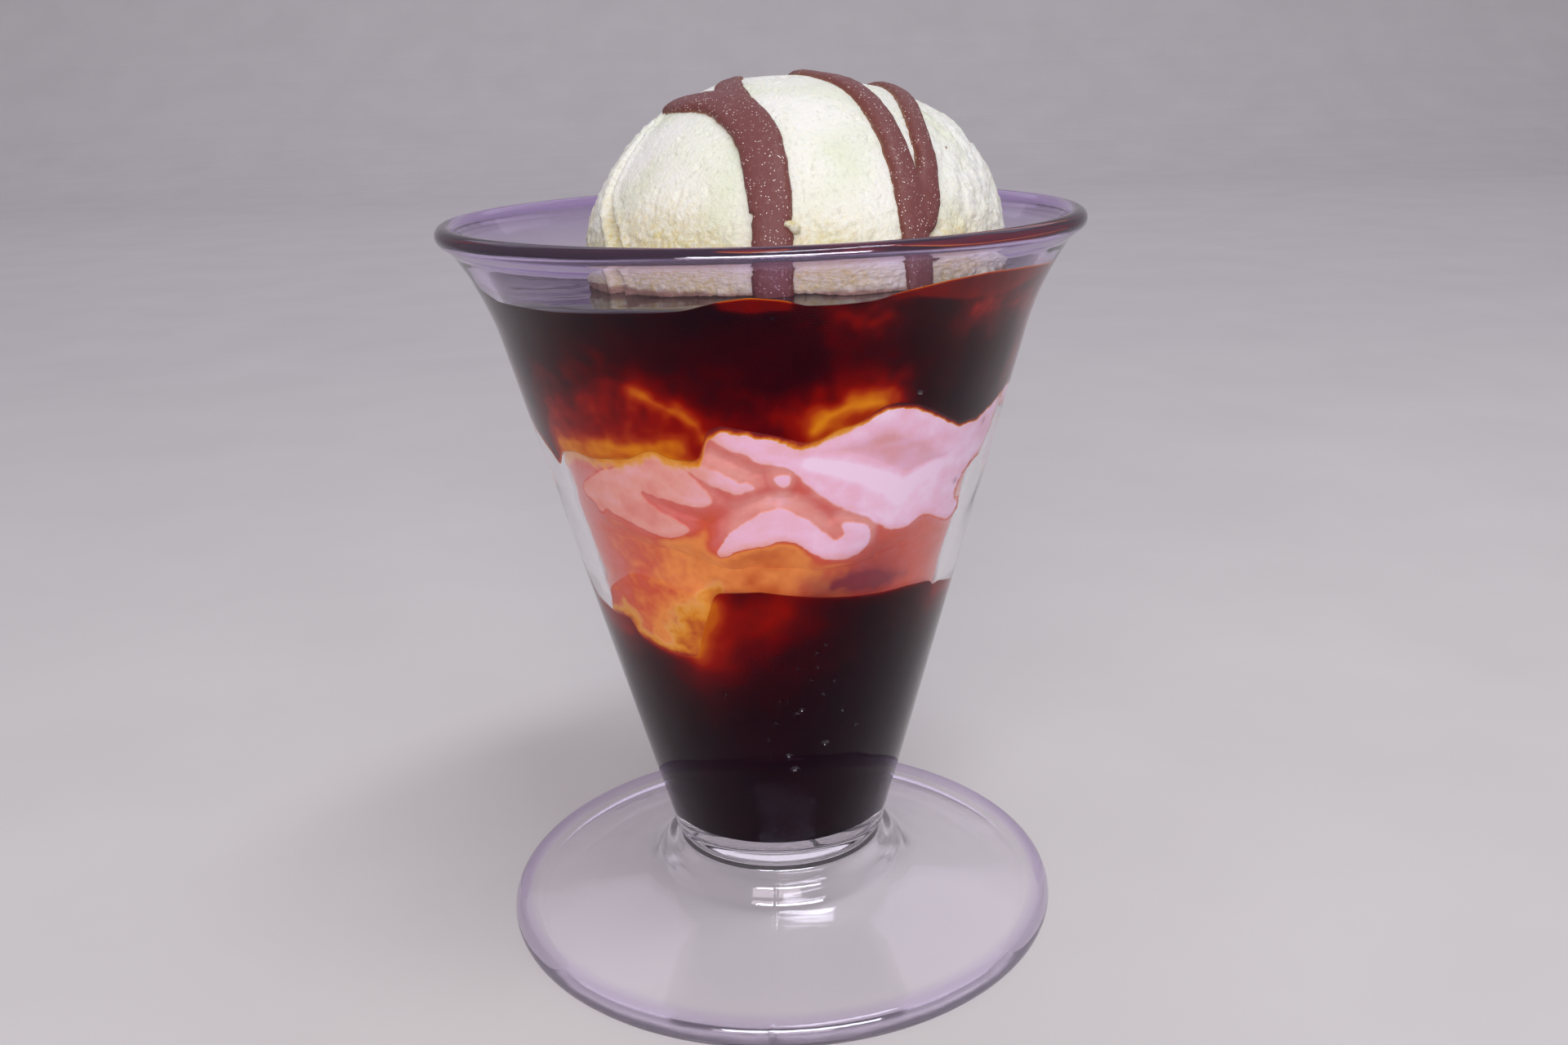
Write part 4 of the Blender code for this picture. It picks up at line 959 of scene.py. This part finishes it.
def build_whipped_cream(material):
    """Whipped cream: smeared flat on the wall inside its outlines, standing back between them.

    How soaked it is goes from the smears' freshness to that of the cream that stands back: partly
    by a quick step at a smear's edge, partly by a slow one that lags by SLOPE_ROWS above a smear. The
    slow step is painted shade: the cream stays light above a smear and darkens straight under it.
    The pocket is drawn more soaked and darker, as painted shade in its hollow, and a ridge line
    lighter, as a painted highlight. A film of coffee thins downwards from the cream's top edge.
    """

    def low(azimuth, share):
        """The stained cream's surface, less the overlap."""
        return stained_top(azimuth, share) - LAYER_OVERLAP

    def high(azimuth, share):
        """The whipped cream's surface, plus the overlap."""
        return cream_top(azimuth, share) + LAYER_OVERLAP

    def gap_and_pocket(azimuth, z):
        """Distances in mm from the pressed cream and from the pocket's outline."""
        return contact_distance(azimuth, z), outline_distance(POCKET, azimuth, z)

    def radius(azimuth, z):
        """The wall's radius, less how far the cream stands back, its folds and the pocket's dent."""
        gap, pocket = gap_and_pocket(azimuth, z)
        relief = uneven(on_wall(azimuth, z), "cream folds")
        at_top = smooth_step((around(CREAM_TOP_WALL, azimuth) - z) / 1.6)
        back = stand_back(gap, azimuth) * (0.25 + 0.75 * at_top)
        back = back + 0.7 * np.clip(relief, -0.3, 0.5) * smooth_step(gap / 2.0)
        back = back + 0.14 * smooth_step(-pocket / 2.2)
        return inner_radius(z) + CREAM_REACH - back

    rings, azimuth = layer_rings(low, high, radius, CREAM_ROWS)
    z = rings[..., 2]
    gap, pocket = gap_and_pocket(azimuth, z)
    spot = on_wall(azimuth, z)
    streaks = uneven(spot, "cream streaks")
    # Inside the pocket the pressed cream is drawn more soaked, as painted shade in its hollow.
    pressed = around(FRESHNESS, azimuth, 4.0) + (0.11 + 0.05 * streaks) * smooth_step(-pocket / 2.6 + 0.1)
    # Painted highlight: along the ridge line the pressed cream is drawn less soaked, so lighter.
    ridge = np.exp(-((stroke_distance(PAINTED_RIDGE_HIGHLIGHT, azimuth, z) / 0.9).clip(0.0) ** 2))
    pressed = pressed - 0.16 * ridge + uneven(spot, "cream clouds") + 0.025 * streaks
    loose = soak_off_wall(azimuth, z) + uneven(spot, "loose clouds")
    # Partly the soak's own step at a smear's edge, partly painted shade: the slow part reads the gap
    # SLOPE_ROWS rows lower, so cream stays light above a smear and turns darker under it.
    below = np.concatenate([np.repeat(gap[:1], SLOPE_ROWS, axis=0), gap[:-SLOPE_ROWS]])
    soak_and_shade_step = 0.55 * smooth_step(gap / 0.25 + 0.3) + 0.45 * smooth_step(below / 2.6)
    soak = pressed + (loose - pressed) * soak_and_shade_step
    fuzz = around(UPPER_FUZZ, azimuth, 3.0)
    under = around(CREAM_TOP_WALL, azimuth) - z + fuzz * uneven(spot, "cream fuzz")
    deepest = 1.3 + around(UPPER_EDGE_DARK, azimuth, 2.0)
    film = deepest * np.clip(1.0 - np.clip(under, 0.0, None) / (0.4 + 0.9 * fuzz), 0.0, None)
    # Darker spots, and the pocket a little darker still, as painted shade.
    dusk = np.maximum(duskiness(azimuth, z), 0.09 * smooth_step(-pocket / 3.0 + 0.1))
    poles = (0, 0, STAINED_TOP_MIDDLE - LAYER_OVERLAP), (0, 0, CREAM_TOP_MIDDLE + LAYER_OVERLAP)
    return add_body(
        "whipped_cream_layer", rings, poles, [material], "whipped_cream", ("whipped_cream",),
        jelly_mm=film, soak=soak, dusk=dusk,
    )


def scoop_footprint(azimuth, extra):
    """Distance from the glass's axis to a circle extra mm outside the scoop's widest ring."""
    turn = np.radians(azimuth)
    reach = SCOOP_RADIUS + extra
    return SCOOP_X * np.sin(turn) + np.sqrt(reach**2 - (SCOOP_X * np.cos(turn)) ** 2)


def build_upper_jelly(on_glass, open_top):
    """Jelly from the whipped cream to its open top, which climbs the wall in a wet edge.

    Across the gap from scoop to wall the height rises by a slow step and, in the last millimetre,
    by an exponential; low lumps unsettle it.
    """
    azimuth = front_azimuths(COLUMNS)
    low, high = cream_top(azimuth, 1.0), around(JELLY_TOP_WALL, azimuth)
    dark = around(JELLY_DARK_WALL, azimuth)
    shares = np.array(SHARES_OUT[:-1])[:, None]
    bottom = polar(azimuth, inner_radius(low) * shares, cream_top(azimuth, shares))
    z = low + (high - low) * np.linspace(0.0, 1.0, UPPER_ROWS)[:, None]
    dents = bubble_dents(azimuth, z)
    side = polar(azimuth, inner_radius(z) + JELLY_REACH - dents, z)
    inner_edge = scoop_footprint(azimuth, -1.0)
    share = 1.0 - np.array(STEPS_OFF_WALL)[:, None]
    level = around(JELLY_LEVEL, azimuth, 6.0)
    gap = inner_radius(level) - inner_edge
    from_wall = (1.0 - share) * gap
    climb = 0.12 * smooth_step((share - 0.2) / 0.6) + 0.88 * np.exp(-from_wall / 0.8)
    height = level + (high - level) * climb + 0.5 * np.exp(-share * gap / 0.7)
    reach = inner_radius(height) - from_wall
    lumps = uneven(polar(azimuth, reach, level), "jelly top")
    top = polar(azimuth, reach, height + lumps * smooth_step(from_wall / 2.5))
    dish = polar(azimuth, inner_edge * np.array([0.97, 0.6, 0.3])[:, None], SCOOP_BASE_Z - 0.3)
    rings = np.concatenate([bottom, side, top, dish])
    fringe = 1.6 + 5.0 * (z - low) + around(UPPER_EDGE_DARK, azimuth, 2.0)
    bare_edge = 9.0 * (1.0 - smooth_step((high - dark - 0.5) / 0.6))
    film = 2.1 + bare_edge + 4.0 * smooth_step((high - z) / 0.4) + 14.0 * smooth_step((dark - z + 0.15) / 1.4)
    first = len(bottom)
    at_top = first + len(side)
    jelly = np.full(rings.shape[:2], JELLY_DEPTH)
    jelly[first:at_top] = soft_least(thin_jelly(UPPER_THIN, azimuth, z, 1.0), fringe, film)
    jelly[at_top : at_top + len(top)] = np.clip(2.8 + bare_edge + 6.0 * from_wall, 0.0, JELLY_DEPTH)
    poles = (0, 0, CREAM_TOP_MIDDLE), (0, 0, SCOOP_BASE_Z - 0.3)
    return add_body(
        "upper_coffee_jelly", rings, poles, [on_glass, open_top], "coffee_jelly", ("coffee_jelly_upper",),
        jelly_paint(rings, first, dents), jelly_mm=jelly,
    )


# ---- Ice cream and sauce -------------------------------------------------------------------


def scoop_point(lean, azimuth):
    """A point on the bare scoop, from the middle of its widest ring, by two angles in degrees."""
    down, turn = np.radians(lean), np.radians(azimuth)
    out = SCOOP_RADIUS * np.sin(down)
    parts = np.broadcast_arrays(out * np.sin(turn), -out * np.cos(turn), SCOOP_HEIGHT * np.cos(down))
    return np.stack(parts, axis=-1)


def scoop_normal(points):
    """Outward direction of the bare scoop's ellipsoid at points near it."""
    normal = points / SCOOP_AXES**2
    return normal / np.linalg.norm(normal, axis=-1, keepdims=True)


def curve_over_scoop(marks, step):
    """Points every step along a curve over the scoop through the marks, with their widths.

    Between marks the curve is a Catmull-Rom cubic, laid back on the ellipsoid.
    """
    marks = np.array(marks, dtype=float)
    dense = through(np.column_stack([scoop_point(marks[:, 0], marks[:, 1]), marks[:, 2:]]), 16)
    dense[:, :3] /= np.linalg.norm(dense[:, :3] / SCOOP_AXES, axis=1, keepdims=True)
    run = np.append(0.0, np.cumsum(np.linalg.norm(np.diff(dense[:, :3], axis=0), axis=1)))
    stops = np.linspace(0.0, run[-1], int(run[-1] / step) + 2)
    return np.stack([np.interp(stops, run, column) for column in dense.T], axis=-1), stops


def flattening(points):
    """How far the scoop lies inside its ellipsoid, by a bell round each of the FLATS."""
    depths = []
    for centre, depth, spread in FLATS:
        gap = np.linalg.norm(points - scoop_point(*centre), axis=-1)
        depths.append(depth * np.exp(-0.5 * (gap / spread) ** 2))
    return np.sum(depths, axis=0)


def fold_distance(bare):
    """Distance in mm from the fold's line, and the same in the fold's half widths."""
    line, _ = curve_over_scoop(FOLD, 1.0)
    gap = np.linalg.norm(bare[..., None, :] - line[:, :3], axis=-1)
    return gap.min(axis=-1), (gap / line[:, 3]).min(axis=-1)


def scoop_relief(bare, lean, azimuth, fold):
    """Height of the scoop's surface over its ellipsoid, in mm.

    It is the fold's groove, a bell with a lip beside it, plus broad lumps, drawn-out pores that only
    cut in, grains near the melting foot, coarser chips on the right and the back, and crumbs beyond
    the fold.
    """
    relief = 0.4 * np.exp(-((fold - 1.5) ** 2) / 0.3) - FOLD_DEPTH * np.exp(-2.0 * fold**2) - flattening(bare)
    relief += uneven(bare, "scoop lumps")
    relief -= 0.26 * smooth_step((uneven(bare, "scoop pores") - 0.25) / 0.8)
    relief += uneven(bare, "scoop grains")
    relief += smooth_step((lean - 58.0) / 20.0) * uneven(bare, "foot grains")
    rough_side = smooth_step((95.0 - np.abs(turn_from(110.0, azimuth))) / 45.0)
    chips = np.clip(uneven(bare, "scoop chips"), -0.9, 0.5)
    relief += 0.5 * rough_side * smooth_step((lean - 22.0) / 30.0) * chips
    beyond_fold = smooth_step((42.0 - np.abs(turn_from(-105.0, azimuth))) / 14.0)
    relief += beyond_fold * smooth_step((lean - 24.0) / 20.0) * uneven(bare, "fold crumbs")
    return relief


def build_scoop(material):
    """The scoop: half an ellipsoid raised by its relief, on a short skirt sunk in the jelly.

    melt, for its colour, is high near the foot, most so on the left, in the fold and at its spots.
    """
    azimuth = front_azimuths(SCOOP_COLUMNS)
    lean = np.linspace(90.0, 0.6, SCOOP_ROWS)[:, None]
    bare = scoop_point(lean, azimuth)
    fold_mm, fold = fold_distance(bare)
    relief = scoop_relief(bare, lean, azimuth, fold)
    dome = bare + scoop_normal(bare) * relief[..., None] + SCOOP_MIDDLE
    skirt_r = SCOOP_RADIUS - np.array([4.0, 1.6, 1.2, 0.7, 0.3, 0.1])[:, None]
    skirt_z = SCOOP_BASE_Z + np.array([0.0, 0.0, 0.15, 0.8, 1.7, 2.6])[:, None]
    skirt = polar(azimuth, skirt_r, skirt_z, SCOOP_X) + scoop_normal(bare[:1]) * relief[:1, :, None]
    rings = np.concatenate([skirt, dome])
    left = 0.22 + 0.7 * smooth_step((80.0 - np.abs(turn_from(-62.0, azimuth))) / 60.0)
    melt = left * smooth_step((lean - 66.0 + uneven(bare, "melt edge")) / 22.0)
    for spot_lean, spot_azimuth, reach, amount in MELT_SPOTS:
        gap = np.linalg.norm(bare - scoop_point(spot_lean, spot_azimuth), axis=-1)
        melt = melt + amount * np.exp(-((gap / reach) ** 2))
    in_fold = 0.8 * np.exp(-((fold_mm / 1.6) ** 2)) * smooth_step((lean - 50.0) / 25.0)
    melt = np.clip(melt + in_fold, 0.0, 1.0)
    melt = np.concatenate([np.repeat(melt[:1], len(skirt), axis=0), melt])
    # Grey-brown foot: coffee stain, partly painted shade low by the jelly.
    wet = smooth_step((FOOT_STAIN_AND_SHADE_Z - rings[..., 2] + uneven(rings, "stain edge")) / 0.7)
    poles = (SCOOP_X, 0.0, SCOOP_BASE_Z), rings[-1].mean(axis=0)
    return add_body(
        "vanilla_scoop", rings, poles, [material], "ice_cream", ("ice_cream",), melt=melt, coffee=wet
    )


def ribbon_rings(marks, seed):
    """Rings along one ribbon: a flat-topped round section carried over the scoop.

    Across the ribbon the section is a superellipse; both edges wander by a noise along it, and its
    ends are rounded off by a quarter circle.
    """
    line, stops = curve_over_scoop(marks, 0.5)
    points, half, height = line[:, :3], line[:, 3], line[:, 4:5]
    normal = scoop_normal(points)
    along = np.gradient(points, stops, axis=0)
    across = np.cross(normal, along)
    across /= np.linalg.norm(across, axis=1, keepdims=True)
    to_end = np.minimum(stops, stops[-1] - stops) / half
    rounding = np.sqrt(np.clip(1.0 - (1.0 - np.clip(to_end, 0.05, 1.0)) ** 2, 0.0, 1.0))
    turn = np.radians(np.linspace(0, 360, RIBBON_SIDES, endpoint=False))
    side = np.sign(np.cos(turn)) * np.abs(np.cos(turn)) ** 0.8
    rise = np.where(np.sin(turn) > 0, height, RIBBON_SINK) * np.sign(np.sin(turn))
    rise = rise * np.abs(np.sin(turn)) ** 0.75 * rounding[:, None] - flattening(points)[:, None]
    edge = np.stack([stops, np.zeros_like(stops), np.full_like(stops, 7.3)], axis=-1)
    wander = [0.2 * noise(edge, 2.6, at) + 0.12 * noise(edge, 1.1, at + 1) for at in (seed, seed + 2)]
    left, right = np.minimum(wander, 0.3 * half)[..., None]
    width = half[:, None] * rounding[:, None] + np.where(side > 0, left, right) * np.abs(side)
    rings = points[:, None] + across[:, None] * (side * width)[..., None]
    rings = rings + normal[:, None] * rise[..., None]
    return rings + SCOOP_MIDDLE


def build_sauce(material):
    """Ribbons of sauce, run together by a voxel remesh where they meet, then smoothed.

    After that each point moves along its normal by a fine noise, and sauce_mm, its height over
    the bare scoop, is kept for the colour.
    """
    points, faces, start = [], [], 0
    for number, marks in enumerate((SIDE_RIBBON, LOOP_RIBBON, BACK_RIBBON, SPECK)):
        rings = ribbon_rings(marks, 80 + 10 * number)[:, ::-1]
        body, groups = rings_to_mesh(rings, rings[0].mean(axis=0), rings[-1].mean(axis=0))
        points.append(body)
        faces += [group + start for group in groups]
        start += len(body)
    rough = add_piece("sauce_ribbons", np.vstack(points), faces, [material])
    melt = rough.modifiers.new("run together", "REMESH")
    melt.mode = "VOXEL"
    melt.voxel_size = 0.26 * MM
    soften = rough.modifiers.new("soften", "SMOOTH")
    soften.factor = 0.5
    soften.iterations = 5
    graph = bpy.context.evaluated_depsgraph_get()
    settled = bpy.data.meshes.new_from_object(rough.evaluated_get(graph))
    rough.modifiers.clear()
    rough.data = settled
    count = len(settled.vertices)
    co, normals = np.zeros(count * 3, np.float32), np.zeros(count * 3, np.float32)
    settled.vertices.foreach_get("co", co)
    settled.vertex_normals.foreach_get("vector", normals)
    place = co.reshape(-1, 3) / MM
    place = place + normals.reshape(-1, 3) * uneven(place, "sauce skin")[:, None]
    settled.vertices.foreach_set("co", (place * MM).astype(np.float32).ravel())
    height = (np.linalg.norm((place - SCOOP_MIDDLE) / SCOOP_AXES, axis=1) - 1.0) * SCOOP_RADIUS
    height = height + flattening(place - SCOOP_MIDDLE)
    kept = settled.attributes.new("sauce_mm", "FLOAT", "POINT")
    kept.data.foreach_set("value", height.astype(np.float32))
    settled.shade_smooth()
    if not settled.materials:
        settled.materials.append(material)
    return rough


def build_drip(material):
    """Melted ice cream that runs over the edge of a ribbon: a small ribbon of its own."""
    rings = ribbon_rings(DRIP, 97)[:, ::-1]
    poles = rings[0].mean(axis=0), rings[-1].mean(axis=0)
    melted, dry = np.ones(rings.shape[:2]), np.zeros(rings.shape[:2])
    return add_body("melted_drip", rings, poles, [material], "ice_cream", melt=melted, coffee=dry)


def vanilla_ice():
    """Vanilla ice cream, scooped and starting to melt: an aerated white ice, matt with tiny pores
    and crystals, creamy yellow where it has melted and drained, with light sunk into it. Its pores
    are drawn greyer, as painted shade, and its foot grey-brown, from coffee and partly painted shade."""
    material, tree, shader = new_material(
        "scooped vanilla ice cream",
        Roughness=0.55,
        Specular_IOR_Level=0.35,
        Subsurface_Weight=0.3,
        Subsurface_Scale=0.0018,
        Subsurface_Radius=(1.0, 0.85, 0.6),
    )
    whites = [(0.3, "EBF0DA"), (0.46, "F4F6E8"), (0.62, "FCFCF4")]
    white = add_node(tree, "ValToRGB", [clouds(tree, 9.0, detail=3.0)], stops=whites)
    melt = add_node(tree, "Attribute", output="Fac", attribute_name="melt")
    grains = add_node(tree, "MapRange", [clouds(tree, 0.9, 3.0, 0.65), 0.36, 0.66, 0.3])
    melted = add_node(tree, "Math", [melt, grains], operation="MULTIPLY")
    # Painted shade: greyer specks where the pores are.
    pore_shade_clouds = clouds(tree, 0.6, stretch=(1.0, 1.0, 2.2))
    pores = add_node(tree, "MapRange", [pore_shade_clouds, 0.56, 0.72, 0.0, 0.4])
    # Coffee at the foot, partly painted shade.
    wet = add_node(tree, "Attribute", output="Fac", attribute_name="coffee")
    colour = coats(tree, white, [(melted, "DECF94"), (pores, "CCCEBC"), (wet, "A88874")])
    tree.links.new(colour, shader.inputs["Base Color"])
    crystals = {"Height": clouds(tree, 0.45, 3.0, 0.7), "Distance": 0.3 * MM}
    tree.links.new(add_node(tree, "Bump", crystals), shader.inputs["Normal"])
    return material


def chilled_sauce():
    """Chocolate sauce stiffened by the cold: satin brown, browner and clearer where it is thin,
    with a fine frost, whose crystals' sparkle is painted as white specks in the colour. The
    crystals are drawn coarser than real, to show."""
    material, tree, shader = new_material("chilled chocolate sauce", Roughness=0.5, Specular_IOR_Level=0.35)
    thick = add_node(tree, "Attribute", output="Fac", attribute_name="sauce_mm")
    share = add_node(tree, "Math", [thick, 2.0], operation="DIVIDE")
    browns = [(0.05, "8A5A42"), (0.2, "744038"), (0.8, "754445")]
    depth = add_node(tree, "ValToRGB", [share], stops=browns)
    frost = clouds(tree, 0.7, 3.0, 0.65, stretch=(1.0, 1.0, 2.0))
    bloom = add_node(tree, "MapRange", [frost, 0.58, 0.8, 0.0, 0.35])
    # Painted glints: white specks in the colour where the frost's crystals would sparkle.
    place = add_node(tree, "TexCoord", output="Object")
    cells = add_node(tree, "TexVoronoi", {"Vector": place, "Scale": 1.0 / (0.38 * MM)})
    crystals = add_node(tree, "Math", [cells, 0.19], operation="LESS_THAN")
    gathered = add_node(tree, "MapRange", [clouds(tree, 1.2, detail=1.0), 0.44, 0.54])
    painted_glint = add_node(tree, "Math", [crystals, gathered], operation="MULTIPLY")
    colour = coats(tree, depth, [(bloom, "B48C86"), (painted_glint, "FBF4F2")])
    tree.links.new(colour, shader.inputs["Base Color"])
    skin = add_node(tree, "Bump", {"Height": frost, "Distance": 0.12 * MM})
    tree.links.new(skin, shader.inputs["Normal"])
    return material


# ---- Floor, light and camera ---------------------------------------------------------------


def build_floor():
    """A pale floor that curves up far behind: a flat run, a quarter turn and a wall."""
    turn = np.radians(np.linspace(0.0, 90.0, 24))
    y = np.concatenate([[-2500.0, -600.0, 0.0, 600.0], 1500.0 + 600.0 * np.sin(turn), [2100.0]])
    z = np.concatenate([[0.0] * 4, 600.0 * (1.0 - np.cos(turn)), [2600.0]])
    x = np.linspace(-3000.0, 3000.0, 9)
    points = np.stack([np.tile(x, y.size), np.repeat(y, x.size), np.repeat(z, x.size)], axis=-1)
    row = np.arange(y.size - 1)[:, None] * x.size + np.arange(x.size - 1)
    quads = np.stack([row, row + 1, row + 1 + x.size, row + x.size], axis=-1).reshape(-1, 4)
    material, tree, shader = new_material("matt floor card", Roughness=0.75, Specular_IOR_Level=0.2)
    greys = [(0.3, "DAD8D6"), (0.7, "DFDDDB")]
    tone = add_node(tree, "ValToRGB", [clouds(tree, 60.0, detail=4.0)], stops=greys)
    tree.links.new(tone, shader.inputs["Base Color"])
    mesh = bpy.data.meshes.new("floor")
    mesh.from_pydata((points * MM).tolist(), [], quads.tolist())
    mesh.materials.append(material)
    floor = bpy.data.objects.new("floor", mesh)
    bpy.context.scene.collection.objects.link(floor)


def light_scene(glass):
    """A high key from the right front, as the shadow shows, a wide fill by the camera, a panel
    behind, a strip that only the glass's gloss shows, and a sky."""
    for name, place, target, sides, power, colour in LAMPS:
        light = bpy.data.lights.new(name, "AREA")
        light.shape = "RECTANGLE"
        light.size, light.size_y = sides
        light.energy = power
        light.color = linear(colour)[:3]
        lamp = bpy.data.objects.new(name, light)
        lamp.location = place
        lamp.rotation_euler = (Vector(target) - Vector(place)).to_track_quat("-Z", "Y").to_euler()
        bpy.context.scene.collection.objects.link(lamp)
    lit = bpy.data.collections.new("lit by the strip")
    lit.objects.link(glass)
    strip = bpy.data.objects["strip"]
    strip.light_linking.receiver_collection = lit
    strip.visible_diffuse = False
    world = bpy.data.worlds.new("studio")
    bpy.context.scene.world = world
    world.use_nodes = True
    sky = world.node_tree.nodes["Background"].inputs
    sky["Color"].default_value = linear(SKY_COLOUR)
    sky["Strength"].default_value = SKY_STRENGTH


def add_camera():
    """The photograph's camera: turned by its yaw, tipped down by its pitch, then rolled."""
    sin_yaw, cos_yaw = math.sin(CAMERA_YAW), math.cos(CAMERA_YAW)
    ahead = math.cos(CAMERA_PITCH)
    forward = np.array([sin_yaw * ahead, cos_yaw * ahead, -math.sin(CAMERA_PITCH)])
    level = np.array([cos_yaw, -sin_yaw, 0.0])
    below = np.cross(forward, level)
    right = math.cos(CAMERA_ROLL) * level + math.sin(CAMERA_ROLL) * below
    down = -math.sin(CAMERA_ROLL) * level + math.cos(CAMERA_ROLL) * below
    turned = Matrix([right.tolist(), (-down).tolist(), (-forward).tolist()]).transposed().to_4x4()
    lens = bpy.data.cameras.new("camera")
    lens.sensor_width = SENSOR_MM
    lens.lens = LENS_MM
    lens.clip_start = 0.01
    camera = bpy.data.objects.new("camera", lens)
    camera.matrix_world = Matrix.Translation(CAMERA_PLACE) @ turned
    bpy.context.scene.collection.objects.link(camera)
    bpy.context.scene.camera = camera


def main():
    """All pieces, from the glass inwards and up, then floor, lamps and camera."""
    jelly_on_glass = coffee_jelly("coffee jelly on the glass", 0.5, 0.0)
    jelly_open = coffee_jelly("coffee jelly, open top", 0.07, 0.6)
    bowl_glass = pressed_glass("pressed glass, bowl", "5A5068", 1.0, 0.0)
    glass = build_glass(bowl_glass, pressed_glass("pressed glass, rim and foot", "F2ECFA", 0.95, 0.07))
    build_lower_jelly(jelly_on_glass, jelly_open)
    build_stained_cream(cream("coffee-stained cream", 0.5))
    build_whipped_cream(cream("whipped cream", 0.45))
    build_upper_jelly(jelly_on_glass, jelly_open)
    ice = vanilla_ice()
    build_scoop(ice)
    build_drip(ice)
    build_sauce(chilled_sauce())
    build_floor()
    light_scene(glass)
    add_camera()
    bpy.context.scene.view_settings.view_transform = "Standard"


main()
